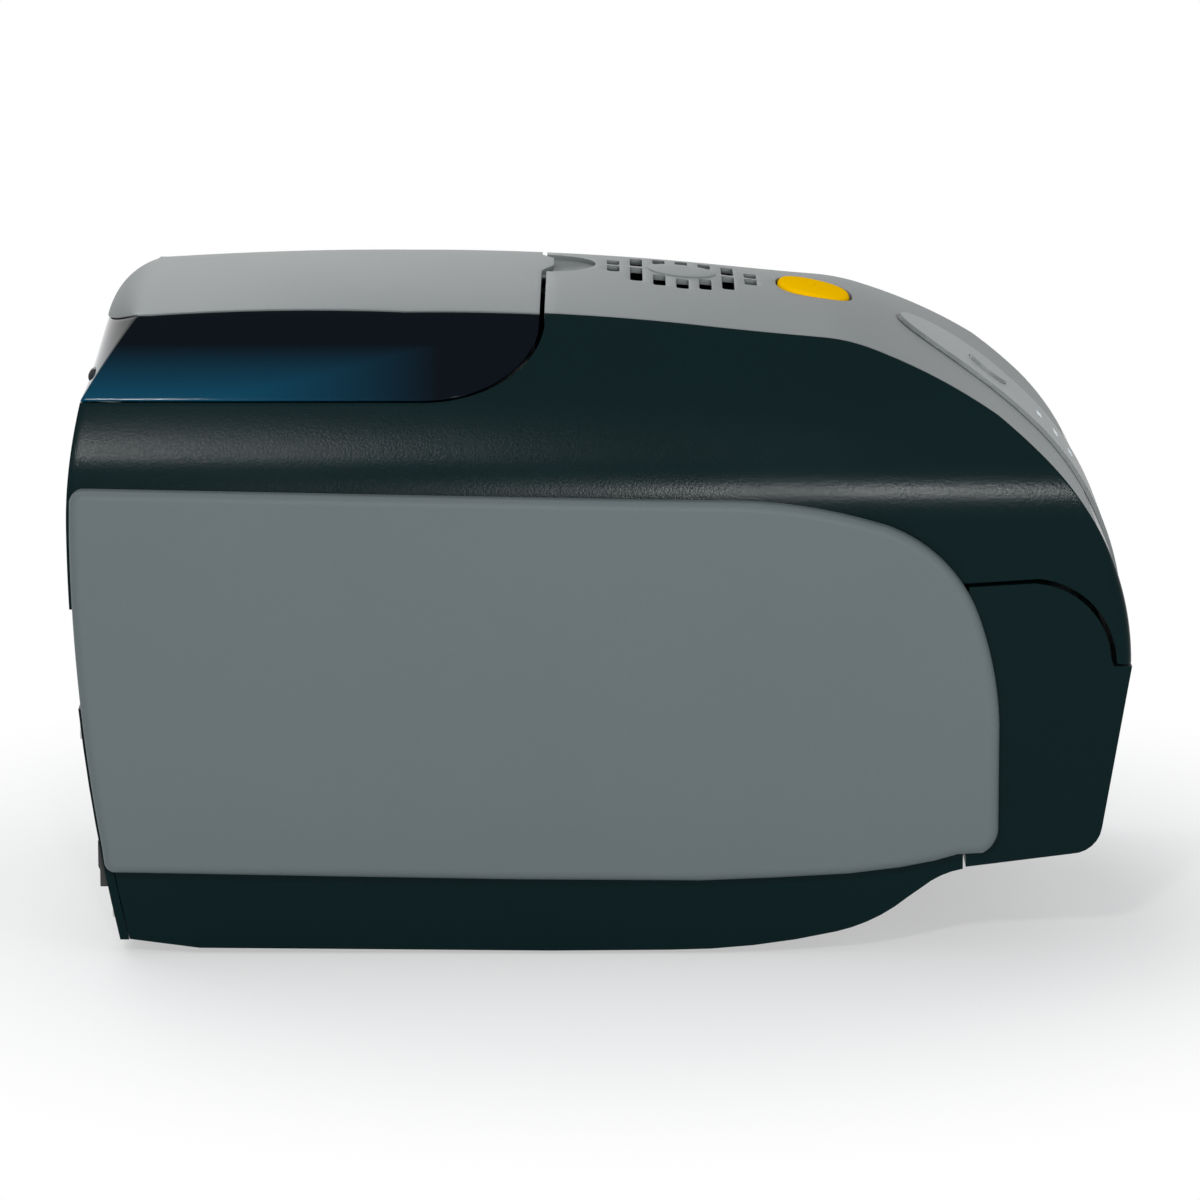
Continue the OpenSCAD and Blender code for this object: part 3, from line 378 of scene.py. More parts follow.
def mouldedGrain():
    # fine spark-eroded mould texture: fine noise for height, and both noises' sum about its middle
    # for tone and gloss
    group, src, out = addGroup(
        "mouldedGrain",
        [("Scale", "NodeSocketFloat", 2400.0), ("Color", "NodeSocketColor", (0.5, 0.5, 0.5, 1)),
         ("Tone", "NodeSocketFloat", 0.06), ("Roughness", "NodeSocketFloat", 0.5),
         ("Gloss Change", "NodeSocketFloat", 0.08)],
        [("Color", "NodeSocketColor"), ("Roughness", "NodeSocketFloat"), ("Height", "NodeSocketFloat")])
    p, nodes, links = grainPlan, group.nodes, group.links
    coord = nodes.new("ShaderNodeTexCoord")
    fine = noiseNode(nodes, links, coord, Detail=p["fineDetail"], Roughness=p["fineRough"])
    links.new(src.outputs["Scale"], fine.inputs["Scale"])
    broad = noiseNode(nodes, links, coord, Scale=p["broadScale"], Detail=p["broadDetail"])
    speck = mathNode(nodes, links, "ADD", fine.outputs["Fac"], broad.outputs["Fac"])
    centred = mathNode(nodes, links, "SUBTRACT", speck, 1.0)
    tone = mathNode(nodes, links, "MULTIPLY_ADD", centred, src.outputs["Tone"], 1.0)
    shade = nodes.new("ShaderNodeVectorMath")
    shade.operation = "SCALE"
    links.new(src.outputs["Color"], shade.inputs[0])
    links.new(tone, shade.inputs["Scale"])
    gloss = mathNode(nodes, links, "MULTIPLY_ADD", centred,
                     src.outputs["Gloss Change"], src.outputs["Roughness"])
    links.new(shade.outputs[0], out.inputs["Color"])
    links.new(gloss, out.inputs["Roughness"])
    links.new(fine.outputs["Fac"], out.inputs["Height"])
    return group


grain = mouldedGrain()
finishes = {
    # name: colour, tone change, roughness, gloss change, grain scale, bump strength, metallic, specular level
    "darkPlastic": ((0.0016, 0.0112, 0.0124), 0.30, 0.20, 0.12, 1100, 0.10, 0.0, 0.06),
    "greyPanel": ((0.108, 0.133, 0.136), 0.10, 0.52, 0.10, 2200, 0.10, 0.0, 0.3),
    "greyTop": ((0.175, 0.192, 0.192), 0.10, 0.50, 0.10, 2200, 0.10, 0.0, 0.3),
    "lightPanel": ((0.215, 0.232, 0.230), 0.08, 0.42, 0.10, 2200, 0.08, 0.0, 0.4),
    "yellowButton": ((1.0, 0.55, 0.0), 0.05, 0.45, 0.10, 2600, 0.04, 0.0, 0.0),
    "blackPlastic": ((0.012, 0.012, 0.013), 0.20, 0.45, 0.15, 1800, 0.10, 0.0, 0.5),
    "whitePlastic": ((0.62, 0.62, 0.58), 0.05, 0.45, 0.10, 2200, 0.05, 0.0, 0.5),
    "zincSteel": ((0.50, 0.51, 0.50), 0.25, 0.34, 0.25, 300, 0.04, 1.0, 0.5),
    "groundSteel": ((0.60, 0.60, 0.60), 0.10, 0.22, 0.15, 900, 0.03, 1.0, 0.5),
    "rubber": ((0.014, 0.014, 0.014), 0.20, 0.75, 0.10, 1200, 0.15, 0.0, 0.5),
    "greyRubber": ((0.11, 0.11, 0.12), 0.20, 0.70, 0.10, 1200, 0.15, 0.0, 0.5),
    "boardGreen": ((0.008, 0.075, 0.022), 0.35, 0.35, 0.20, 260, 0.06, 0.0, 0.5),
    "brass": ((0.62, 0.42, 0.16), 0.15, 0.32, 0.15, 500, 0.04, 1.0, 0.5),
    "copper": ((0.55, 0.30, 0.16), 0.15, 0.35, 0.15, 500, 0.04, 1.0, 0.5),
    "ribbonFilm": ((0.02, 0.012, 0.10), 0.20, 0.18, 0.10, 200, 0.02, 0.0, 0.5),
    "lightLens": ((0.55, 0.66, 0.72), 0.05, 0.20, 0.05, 600, 0.02, 0.0, 0.5),
}


def makeFinish(name):
    color, tone, rough, change, scale, bumpBy, metal, specular = finishes[name]
    mat = bpy.data.materials.new(name)
    mat.use_nodes = True
    nodes, links = mat.node_tree.nodes, mat.node_tree.links
    shader = nodes["Principled BSDF"]
    g = nodes.new("ShaderNodeGroup")
    g.node_tree = grain
    g.inputs["Scale"].default_value = scale
    g.inputs["Color"].default_value = (*color, 1)
    g.inputs["Tone"].default_value = tone
    g.inputs["Roughness"].default_value = rough
    g.inputs["Gloss Change"].default_value = change
    links.new(g.outputs["Color"], shader.inputs["Base Color"])
    links.new(g.outputs["Roughness"], shader.inputs["Roughness"])
    bump = nodes.new("ShaderNodeBump")
    bump.inputs["Strength"].default_value = bumpBy
    bump.inputs["Distance"].default_value = grainPlan["bumpDeep"]
    links.new(g.outputs["Height"], bump.inputs["Height"])
    links.new(bump.outputs["Normal"], shader.inputs["Normal"])
    shader.inputs["Metallic"].default_value = metal
    shader.inputs["Specular IOR Level"].default_value = specular
    return mat


materials = {name: makeFinish(name) for name in finishes}
# the window's colour: a painted teal glow low at the rear, fading to the nearly black tint above riseTo or
# ahead of alongTo, in metres
tintPlan = {
    "rough": 0.06, "seeThrough": 0.2, "ior": 1.15, "riseFrom": 0.193, "riseTo": 0.212,
    "alongFrom": -0.135, "alongTo": -0.055,
    "blue": (0.002, 0.070, 0.130, 1), "black": (0.0005, 0.003, 0.007, 1),
}


def rampNode(nodes, links, source, start, end):
    node = nodes.new("ShaderNodeMapRange")
    node.inputs["From Min"].default_value = start
    node.inputs["From Max"].default_value = end
    links.new(source, node.inputs["Value"])
    return node.outputs["Result"]


def tintedWindow():
    p = tintPlan
    mat = bpy.data.materials.new("tintedWindow")
    mat.use_nodes = True
    nodes, links = mat.node_tree.nodes, mat.node_tree.links
    shader = nodes["Principled BSDF"]
    shader.inputs["Roughness"].default_value = p["rough"]
    shader.inputs["Transmission Weight"].default_value = p["seeThrough"]
    shader.inputs["IOR"].default_value = p["ior"]
    coord = nodes.new("ShaderNodeTexCoord")
    split = nodes.new("ShaderNodeSeparateXYZ")
    links.new(coord.outputs["Object"], split.inputs[0])
    rise = rampNode(nodes, links, split.outputs["Z"], p["riseFrom"], p["riseTo"])
    along = rampNode(nodes, links, split.outputs["X"], p["alongFrom"], p["alongTo"])
    # this mix paints a teal glow low at the rear of the window and the dark tint elsewhere
    tint = nodes.new("ShaderNodeMix")
    tint.data_type = "RGBA"
    tint.inputs["A"].default_value = p["blue"]
    tint.inputs["B"].default_value = p["black"]
    links.new(mathNode(nodes, links, "MAXIMUM", rise, along), tint.inputs["Factor"])
    links.new(tint.outputs["Result"], shader.inputs["Base Color"])
    return mat


materials["tintedWindow"] = tintedWindow()
print("materials made")


def finishOf(slot):
    # dark_plastic is the slot's name and darkPlastic the finish's
    first, *rest = slot.split("_")
    return materials[first + "".join(word.capitalize() for word in rest)]


def finish(piece, body, slot, *nodes):
    piece.data.materials.clear()
    piece.data.materials.append(finishOf(slot))
    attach(piece, body)
    if nodes:
        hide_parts(*nodes)


# camera and light, in metres, degrees and watts
cameraPlan = {"distance": 2.3, "rise": 12.4, "targetZ": 0.1066, "sensor": 36, "lens": 192.3, "clipEnd": 50}
lampPlan = {
    # name: place, aim, width, height, power
    "keyLamp": ((-0.35, -1.80, 1.25), (-0.15, -0.08, 0.18), 0.16, 0.14, 9),
    "frontLamp": ((0.19, -2.24, 0.44), (0.08, -0.08, 0.16), 0.14, 0.12, 14),
    "fillLamp": ((1.5, -1.3, 0.9), (0, 0, 0.12), 0.9, 0.9, 3),
    "topLamp": ((-0.6, 0.5, 1.9), (0, 0, 0.2), 1.2, 1.2, 9),
    "rearLamp": ((-0.4, 1.7, 1.3), (0, 0, 0.15), 1.0, 0.8, 8),
}
worldPlan = {"color": (0.92, 0.96, 1.0, 1), "strength": 0.38}
floorPlan = {"half": 9000, "tone": 0.97, "rough": 0.9, "nearR": 0.17, "farR": 0.36, "nearWhite": 0.45}


def addCamera():
    p = cameraPlan
    cam = bpy.data.objects.new("camera", bpy.data.cameras.new("camera"))
    bpy.context.scene.collection.objects.link(cam)
    rise = math.radians(p["rise"])
    cam.location = (0, -p["distance"] * math.cos(rise), p["targetZ"] + p["distance"] * math.sin(rise))
    cam.rotation_euler = (math.radians(90) - rise, 0, 0)
    cam.data.sensor_width = p["sensor"]
    cam.data.lens = p["lens"]
    cam.data.clip_end = p["clipEnd"]
    bpy.context.scene.camera = cam


def addLamp(name, place, aim, width, height, power):
    light = bpy.data.lights.new(name, "AREA")
    light.shape = "RECTANGLE"
    light.size = width
    light.size_y = height
    light.energy = power
    lamp = bpy.data.objects.new(name, light)
    bpy.context.scene.collection.objects.link(lamp)
    lamp.location = place
    way = np.array(aim, float) - np.array(place, float)
    down = math.atan2(math.hypot(way[0], way[1]), -way[2])
    lamp.rotation_euler = (down, 0, math.atan2(way[1], way[0]) - math.pi / 2)


def eyeRay(nodes, links):
    # 1 for what the camera sees, straight, through glass or in a gloss, and 0 for the rest of the light
    path = nodes.new("ShaderNodeLightPath")
    straight, through = path.outputs["Is Camera Ray"], path.outputs["Is Transmission Ray"]
    seen = mathNode(nodes, links, "MAXIMUM", straight, through)
    return mathNode(nodes, links, "MAXIMUM", seen, path.outputs["Is Glossy Ray"])


def mixTo(nodes, links, share, plain, white, surface):
    mix = nodes.new("ShaderNodeMixShader")
    links.new(share, mix.inputs[0])
    links.new(plain.outputs[0], mix.inputs[1])
    links.new(white.outputs[0], mix.inputs[2])
    links.new(mix.outputs[0], surface)


def addWorld():
    # plain white to the eye, and it lights the object by its own colour and strength
    world = bpy.data.worlds.new("studio")
    bpy.context.scene.world = world
    world.use_nodes = True
    nodes, links = world.node_tree.nodes, world.node_tree.links
    nodes["Background"].inputs["Color"].default_value = worldPlan["color"]
    nodes["Background"].inputs["Strength"].default_value = worldPlan["strength"]
    white = nodes.new("ShaderNodeBackground")
    white.inputs["Color"].default_value = (1, 1, 1, 1)
    surface = nodes["World Output"].inputs["Surface"]
    mixTo(nodes, links, eyeRay(nodes, links), nodes["Background"], white, surface)


def addFloor():
    # a pale floor that keeps the shadow near the printer and turns plain white to the eye further out
    p = floorPlan
    h = p["half"]
    floor = meshObject("floor", [(-h, -h, 0), (h, -h, 0), (h, h, 0), (-h, h, 0)], [(0, 1, 2, 3)])
    mat = bpy.data.materials.new("paleFloor")
    mat.use_nodes = True
    nodes, links = mat.node_tree.nodes, mat.node_tree.links
    shader = nodes["Principled BSDF"]
    shader.inputs["Base Color"].default_value = (p["tone"], p["tone"], p["tone"], 1)
    shader.inputs["Roughness"].default_value = p["rough"]
    coord = nodes.new("ShaderNodeTexCoord")
    length = nodes.new("ShaderNodeVectorMath")
    length.operation = "LENGTH"
    links.new(coord.outputs["Object"], length.inputs[0])
    far = nodes.new("ShaderNodeMapRange")
    far.interpolation_type = "SMOOTHSTEP"
    far.inputs["From Min"].default_value = p["nearR"]
    far.inputs["From Max"].default_value = p["farR"]
    far.inputs["To Min"].default_value = p["nearWhite"]
    links.new(length.outputs["Value"], far.inputs["Value"])
    share = mathNode(nodes, links, "MULTIPLY", eyeRay(nodes, links), far.outputs["Result"])
    white = nodes.new("ShaderNodeEmission")
    mixTo(nodes, links, share, shader, white, nodes["Material Output"].inputs["Surface"])
    floor.data.materials.append(mat)


addCamera()
for name, plan in lampPlan.items():
    addLamp(name, *plan)
addWorld()
addFloor()
view = bpy.context.scene.view_settings
view.view_transform = "Standard"
print("studio ready")

# dark cover: two cheeks, the chin and the rear wall as one skin
bayA = caseShape["lidFront"] + caseShape["seam"] - caseShape["bayX"]
bayB = caseShape["bayZ"] - caseShape["lidEdge"] + caseShape["seam"]
coverPlan = {
    "rows": 56, "rearCols": 44, "bayCols": 34, "creaseCols": 130, "chinCols": 26, "roundCols": 9,
    "flatCols": 31, "stepX": (-156, -148), "bayEndX": -5, "skirtX": (-4, 126),
    "gapTurn": (84, 1.2), "gapCols": 40, "gapSplit": 18,
    "chinEnd": 89.5, "chinStart": 0.2, "chinRound": 4, "chinGrow": 12, "wall": 2.2, "edge": 0.6,
}


def coverEdges(chinA, chinRound):
    # the cheek's upper and lower edge, each from the rear to the nose and with as many points
    c, n = caseShape, coverPlan
    lidZ, rearZ, edgeZ, split = c["lidEdge"] - c["seam"], c["coverRear"], c["coverEdge"], n["gapSplit"]
    creaseA = np.linspace(topAngle(c["lidFront"] + c["seam"]), c["stripEnd"], n["creaseCols"])
    top = np.concatenate([
        resample([(rearX(lidZ), lidZ), (c["bayX"], lidZ)], n["rearCols"])[:-1],
        bayArc(bayA, bayB, n["bayCols"]),
        creaseLine(creaseA)[:-1],
        profile(chinA, chinRound)])
    gap = arcLine(c["gapX"], c["gapZ"], c["gapR"], *n["gapTurn"], n["gapCols"])
    rear = [(rearX(rearZ), rearZ), (n["stepX"][0], rearZ), (n["stepX"][1], edgeZ), (c["bayX"], edgeZ)]
    skirt = [(n["skirtX"][0], edgeZ), (n["skirtX"][1], edgeZ)]
    low = np.concatenate([
        resample(rear, n["rearCols"])[:-1],
        resample([(c["bayX"], edgeZ), (n["bayEndX"], edgeZ)], n["bayCols"]),
        resample(np.concatenate([skirt, gap[:split]]), n["creaseCols"])[:-1],
        resample(gap[split - 1:], n["chinCols"])])
    return top, low


def coverSkin():
    # a cheek is ruled between its two edges and bent to the side wall and, near its end, to the rear wall
    c, n = caseShape, coverPlan
    chinA = np.linspace(c["stripEnd"], n["chinEnd"], n["chinCols"])
    chinRound = n["chinStart"] + n["chinRound"] * np.clip((chinA - c["stripEnd"]) / n["chinGrow"], 0, 1)
    top, low = coverEdges(chinA, chinRound)
    x, z = ruled(low, top, n["rows"])
    near = np.clip(1 - np.arange(len(top)) / (n["rearCols"] - 1), 0, 1)
    x = x + (rearX(z) - x[:, :1]) * near ** 2
    left = np.stack([x, -wallAt(z), z], -1)
    right = left * [1, -1, 1]
    # chin: a quarter round at each side, flat between, along the profile's arc
    turn = np.radians(np.linspace(0, 90, n["roundCols"]))[:, None]
    mid, way = profile(chinA, chinRound), normalAt(chinA)
    side = wallAt(mid[:, 1]) - chinRound
    xz = mid + chinRound[:, None] * np.sin(turn)[..., None] * way
    leftRound = np.stack([xz[..., 0], -(side + chinRound * np.cos(turn)), xz[..., 1]], -1)
    across = np.linspace(-1, 1, n["flatCols"])[:, None]
    outer = profile(chinA)
    flat = np.stack([outer[:, 0] + 0 * across, side * across, outer[:, 1] + 0 * across], -1)
    chin = np.concatenate([leftRound, flat[1:-1], leftRound[::-1] * [1, -1, 1]])
    rearZ = z[:, 0][:, None]
    back = np.stack([rearX(rearZ) + 0 * across.T, wallAt(rearZ) * across.T, rearZ + 0 * across.T], -1)
    piece = gridObject("coverShell", [left, right, chin, back])
    tidyMesh(piece, skinMerge)
    thicken(piece, n, 3)
    return piece


finish(coverSkin(), "cover", "dark_plastic", "cover_shell")
hingePlan = {
    "r": 9, "turn": (180, 350), "cols": 20, "tailX": -130, "tailZ": (152, 166),
    "inY": 80, "outY": 89, "soft": 0.5,
}


def hingeArm(name, side):
    # a round eye about the hinge pin with a straight tail, flat on both faces
    p = hingePlan
    low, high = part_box("hinge_pins")
    x, z = (low[0] + high[0]) / 2 / mm, (low[2] + high[2]) / 2 / mm
    tail = [(p["tailX"], p["tailZ"][0]), (p["tailX"], p["tailZ"][1]), (x - p["r"], p["tailZ"][1])]
    outline = np.concatenate([arcLine(x, z, p["r"], *p["turn"], p["cols"]), tail])
    levels = [(p["soft"], side * p["inY"]), (0, side * (p["inY"] + p["soft"])),
              (0, side * (p["outY"] - p["soft"])), (p["soft"], side * p["outY"])]
    piece = ringSolid(name, outline, levels, upright)
    smoothByAngle(piece)
    return piece


for name, side in (("leftHingeArm", -1), ("rightHingeArm", 1)):
    finish(hingeArm(name, side), "cover", "dark_plastic", "cover_shell")
print("dark cover made")

# grey top, with its slots, the bare pad among them, the finger scoop and the yellow button
topPlan = {
    "rows": 210, "cols": 84, "rimShare": 0.9985, "endShort": 0.3, "wall": 2.0, "edge": 0.55,
    "cutZ": 228, "cutHalf": 12,
}
ventPlan = {
    "x": 29, "pitch": 8.1, "wide": 4.4, "round": 1.1, "padR": 12.2, "padCols": 96,
    "spans": {3: (1, 11.5), 2: (1.5, 23), 1: (11, 26.5), 0: (14.5, 28)},  # nearest and furthest Y of a slot
    # the pad's rings: share of its radius, and height over the crown
    "padRings": [(0.001, 0.55), (0.5, 0.55), (0.93, 0.55), (0.97, 0.45), (1.0, 0.1), (1.0, -0.6)],
}
scoopPlan = {
    "r": 18, "rows": 24, "cols": 90, "rimR": 1.03, "under": 1.2, "deep": 5.2, "power": 0.8, "wall": 1.2,
}
buttonPlan = {
    "x": 76, "tilt": 12, "long": 13, "half": 17, "power": 2.6, "cols": 96, "gap": 0.9, "cutHalf": 9,
    "foot": -5, "top": 1.3, "round": 1.6, "dome": 1.6, "domeShare": 0.6, "domeFrom": -2,
    "inner": (3, 5, 7, 9, 11, 12.5),
}
creaseHalf = 62  # half width of the crown where small trim follows it
buttonAt = profile(topAngle(buttonPlan["x"]))


def crownZ(x, y):
    # height of the crown at x, y: the profile less the drop times the square of y over the half width
    a = topAngle(x)
    return profile(a)[..., 1] - dropAt(a) * (y / creaseHalf) ** 2


def ventCutters():
    p, half = ventPlan, topPlan["cutHalf"]
    cutters = []
    for k in range(-3, 4):
        near, far = p["spans"][abs(k)]
        outline = roundRect(p["wide"] / 2, (far - near) / 2, p["round"])
        for side in (-1, 1):
            cutters.append(prism("slotCut%d%d" % (k + 3, side + 1), p["x"] + k * p["pitch"],
                                 side * (near + far) / 2, topPlan["cutZ"], outline, -half, half))
    return cutters


def coverTop():
    # the crown from the lid's seam to the end of the strip, with the slots, scoop and button hole cut out
    p, b, c = topPlan, buttonPlan, caseShape
    a = np.linspace(topAngle(c["lidFront"] + c["seam"]), c["stripEnd"] - p["endShort"], p["rows"])
    aa, u = np.meshgrid(a, p["rimShare"] * np.linspace(-1, 1, p["cols"]), indexing="ij")
    piece = gridObject("coverTop", [crownPoint(aa, u)])
    tidyMesh(piece)
    turnUp(piece)
    scoop = circle(scoopPlan["r"], 120)
    hole = superOval(b["long"] + b["gap"], b["half"] + b["gap"], b["power"])
    cutters = ventCutters()
    cutters.append(prism("scoopCut", c["lidFront"], 0, p["cutZ"], scoop, -p["cutHalf"], p["cutHalf"]))
    deep = b["cutHalf"]
    cutters.append(prism("buttonCut", buttonAt[0], 0, buttonAt[1], hole, -deep, deep, b["tilt"]))
    thicken(piece, p, 2, cutters)
    return piece


finish(coverTop(), "cover", "grey_top", "cover_top")


def scoopDish():
    # a shallow bowl: its depth is deep times one less the share of the radius squared, to a power
    p = scoopPlan
    r = np.linspace(0.001, 1, p["rows"])[:, None]
    t = np.radians(np.linspace(0, 360, p["cols"], endpoint=False))[None, :]
    x = caseShape["lidFront"] + p["r"] * p["rimR"] * r * np.cos(t)
    y = p["r"] * p["rimR"] * r * np.sin(t)
    z = crownZ(x, y) - p["under"] - p["deep"] * (1 - r ** 2) ** p["power"]
    grid = np.stack([x, y, z], -1)
    piece = gridObject("fingerScoop", [np.concatenate([grid, grid[:, :1]], 1)])
    tidyMesh(piece)
    turnUp(piece)
    addSolid(piece, p["wall"])
    applyAll(piece)
    smoothByAngle(piece)
    return piece


finish(scoopDish(), "cover", "grey_top")


def ventPad():
    # bare round pad inside the slots, raised a hair above the crown, with its rim sunk into it
    p = ventPlan
    r, lift = np.array(p["padRings"]).T[..., None]
    t = np.radians(np.linspace(0, 360, p["padCols"]))[None, :]
    x = p["x"] + p["padR"] * r * np.cos(t)
    y = p["padR"] * r * np.sin(t)
    piece = gridObject("ventPad", [np.stack([x, y, crownZ(x, y) + lift], -1)])
    tidyMesh(piece)
    turnUp(piece)
    smoothByAngle(piece, 50)
    return piece


finish(ventPad(), "cover", "grey_top")


def releaseButton():
    p = buttonPlan
    s, c = math.sin(math.radians(p["tilt"])), math.cos(math.radians(p["tilt"]))

    def place(q, level):
        # the top is domed: it falls with the square of the distance from its middle
        x, y = q[:, 0], q[:, 1]
        fall = (x / p["long"]) ** 2 * p["domeShare"] + (y / p["half"]) ** 2 * p["domeShare"]
        z = level - p["dome"] * fall * (level > p["domeFrom"])
        return np.stack([buttonAt[0] + x * c + z * s, y, buttonAt[1] - x * s + z * c], -1)

    levels = roundLevels(p["foot"], p["top"], p["round"]) + [(k, p["top"]) for k in p["inner"]]
    piece = ringSolid("releaseButton", superOval(p["long"], p["half"], p["power"], p["cols"]), levels, place)
    smoothByAngle(piece, smoothLimit)
    return piece


finish(releaseButton(), "release", "yellow_button", "release_button")

# control panel: the raised tongue on the nose, and a black sheet round it that paints the shade along its
# edge
tonguePlan = {
    "start": 27.5, "end": 84, "half": 28, "raise": 1.6, "rows": 120, "cols": 40, "crowd": 1.4,
    "startShare": 0.2, "endShare": 0.06, "endPull": 0.14, "wall": 1.7, "edge": 0.5, "buttonA": 38,
    "buttonR": 8.4, "lightA": (46, 51, 56), "lightHalf": (1.3, 3.5), "lightRound": 0.8, "cutDeep": (-4, 6),
    "line": 0.9, "lineBack": 0.35, "lineLift": 0.12, "lineWall": 0.3,
}


def tongueGrid(back, wider, endPull, lift):
    # rows along the profile, crowded at the start: the half width grows there as a quarter ellipse and
    # draws in by endPull at the end, and each row lies on the crown, raised by lift
    p = tonguePlan
    s = np.linspace(0, 1, p["rows"]) ** p["crowd"]
    a = p["start"] - back + (p["end"] - p["start"]) * s
    startRound = np.sqrt(np.clip(1 - np.clip(1 - s / p["startShare"], 0, 1) ** 2, 0, 1))
    endRound = np.sqrt(np.clip(1 - np.clip((s - 1 + p["endShare"]) / p["endShare"], 0, 1) ** 2, 0, 1))
    half = (p["half"] + wider) * startRound * (1 - endPull + endPull * endRound)
    y = half[:, None] * np.linspace(-1, 1, p["cols"])
    aa = a[:, None] + 0 * y
    w = wallAt(creaseLine(aa)[..., 1])
    q = profile(aa, dropAt(aa) * (y / w) ** 2 - lift)
    return np.stack([q[..., 0], y, q[..., 1]], -1)


def panelSpots():
    # cutters for the button's hole and the three lights, each square to the profile
    p = tonguePlan
    spots = [(p["buttonA"], circle(p["buttonR"], 90))]
    spots += [(a, roundRect(*p["lightHalf"], p["lightRound"])) for a in p["lightA"]]
    return [prism("spotCut%d" % k, profile(a)[0], 0, profile(a)[1], line, *p["cutDeep"], a)
            for k, (a, line) in enumerate(spots)]


def tongue():
    p = tonguePlan
    piece = gridObject("controlPanel", [tongueGrid(0, 0, p["endPull"], p["raise"])])
    tidyMesh(piece)
    turnUp(piece, middle=True)
    thicken(piece, p, 2, panelSpots())
    return piece


def tongueShadow():
    # painted shade: the tongue's own outline made wider by line, a hair above the crown, in black where the
    # tongue's edge falls in shade
    p = tonguePlan
    piece = gridObject("tongueShadow", [tongueGrid(p["lineBack"], p["line"], 0, p["lineLift"])])
    tidyMesh(piece)
    turnUp(piece, middle=True)
    addSolid(piece, p["lineWall"])
    applyAll(piece)
    smoothByAngle(piece, smoothLimit)
    return piece


finish(tongue(), "cover", "light_panel", "control_panel")
# a black sheet that paints the shade gap round the tongue's raised edge
finish(tongueShadow(), "cover", "black_plastic")
print("grey top made")

# hopper lid: its grey top and the tinted band that wraps the side and the rear
lidPlan = {
    "rearA": -78, "rows": 130, "rearRows": 40, "rearShare": 0.3, "cols": 84, "reach": 1.14,
    "pull": 0.88, "pullPower": 2.4, "frontHalf": 61.5, "tab": 4.2, "tabFlat": 6, "tabHalf": 13,
    "frontGap": 1.7, "wall": 2.0, "edge": 0.55,
}
windowPlan = {
    "cols": 90, "rows": 22, "lowCols": 56, "bayCols": 35, "bayEnd": -12, "rearCols": 8,
    "rearX": (-159.8, -156.5), "creaseX": -156, "under": 0.5, "nearCols": 20, "acrossCols": 41,
    "cornerBow": 11, "wall": 1.6, "edge": 0.4,
}


def lidFrontX(u):
    # the lid's front edge: straight, with a tab that swells forwards as half a cosine wave
    p, c = lidPlan, caseShape
    y = np.abs(u) * p["frontHalf"]
    swell = 0.5 * (1 + np.cos(np.pi * np.clip((y - p["tabFlat"]) / p["tabHalf"], 0, 1)))
    return c["lidFront"] + c["seam"] - p["frontGap"] + p["tab"] * swell


def lidTop():
    # the crown from the front edge back to the rear turn and down it; behind the turn each column
    # reaches back less towards the sides, by pull times a power of its share of the half width
    p = lidPlan
    share, rearRows = p["rearShare"], p["rearRows"]
    rear, front = np.linspace(0, share, rearRows)[:-1], np.linspace(share, 1, p["rows"] - rearRows + 1)
    s = np.concatenate([rear, front])[:, None]
    u = np.linspace(-1, 1, p["cols"])[None, :]
    end = topAngle(lidFrontX(u))
    turn = caseShape["rearTurn"]
    rearPart = p["rearA"] + (turn - p["rearA"]) * s / share
    a = np.where(s < share, rearPart, turn + (end - turn) * (s - share) / (1 - share))
    grid = crownPoint(a, u + 0 * s)
    reach = p["reach"] - p["pull"] * np.abs(u + 0 * s) ** p["pullPower"]
    turnX = profile(turn)[0]
    grid[..., 0] = np.where(a < turn, turnX + (grid[..., 0] - turnX) * reach, grid[..., 0])
    piece = gridObject("lidTop", [grid])
    tidyMesh(piece)
    turnUp(piece, middle=True)
    thicken(piece, p, 3)
    return piece


finish(lidTop(), "lid", "grey_top", "lid_top")


def cornerBow(z):
    # the rear corner leans in evenly from the lid's lower edge to the crease
    low = caseShape["lidEdge"]
    return windowPlan["cornerBow"] * np.clip((z - low) / (rearCreaseZ - low), 0, 1)


def lidWindow():
    # each side is ruled between the bay's edge and the crease, and the rear up to the lid's rear rim
    p, c = windowPlan, caseShape
    lidZ, cols, rearCols = c["lidEdge"], p["cols"], p["rearCols"]
    frontX = c["lidFront"] + c["seam"] - lidPlan["frontGap"]
    low = np.concatenate([resample([(rearX(lidZ), lidZ), (c["bayX"], lidZ)], p["lowCols"])[:-1],
                          bayArc(frontX - c["bayX"], bayB - c["seam"], p["bayCols"], p["bayEnd"])])
    rearTop = np.stack([np.linspace(*p["rearX"], rearCols), np.full(rearCols, rearCreaseZ)], -1)
    creaseTop = creaseLine(topAngle(np.linspace(p["creaseX"], frontX, cols - rearCols)))
    top = resample(np.concatenate([rearTop, creaseTop]), cols) - [0, p["under"]]
    x, z = ruled(resample(low, cols), top, p["rows"])
    near = np.clip(1 - np.arange(cols) / p["nearCols"], 0, 1)
    x = x + (rearX(z) + cornerBow(z) - x[:, :1]) * near ** 2
    left = np.stack([x, -wallAt(z), z], -1)
    u = np.linspace(-1, 1, p["acrossCols"])
    level = (1 - u ** 2) * profile(lidPlan["rearA"])[1] + u ** 2 * z[-1, 0]
    rearZ = lidZ + (level - lidZ) * np.linspace(0, 1, p["rows"])[:, None]
    back = np.stack([rearX(rearZ) + cornerBow(rearZ) * u ** 2, wallAt(rearZ) * u, rearZ], -1)
    piece = gridObject("lidWindow", [left, left * [1, -1, 1], back])
    tidyMesh(piece, skinMerge)
    thicken(piece, p, 2)
    return piece


finish(lidWindow(), "lid", "tinted_window", "lid_window")
print("lid made")

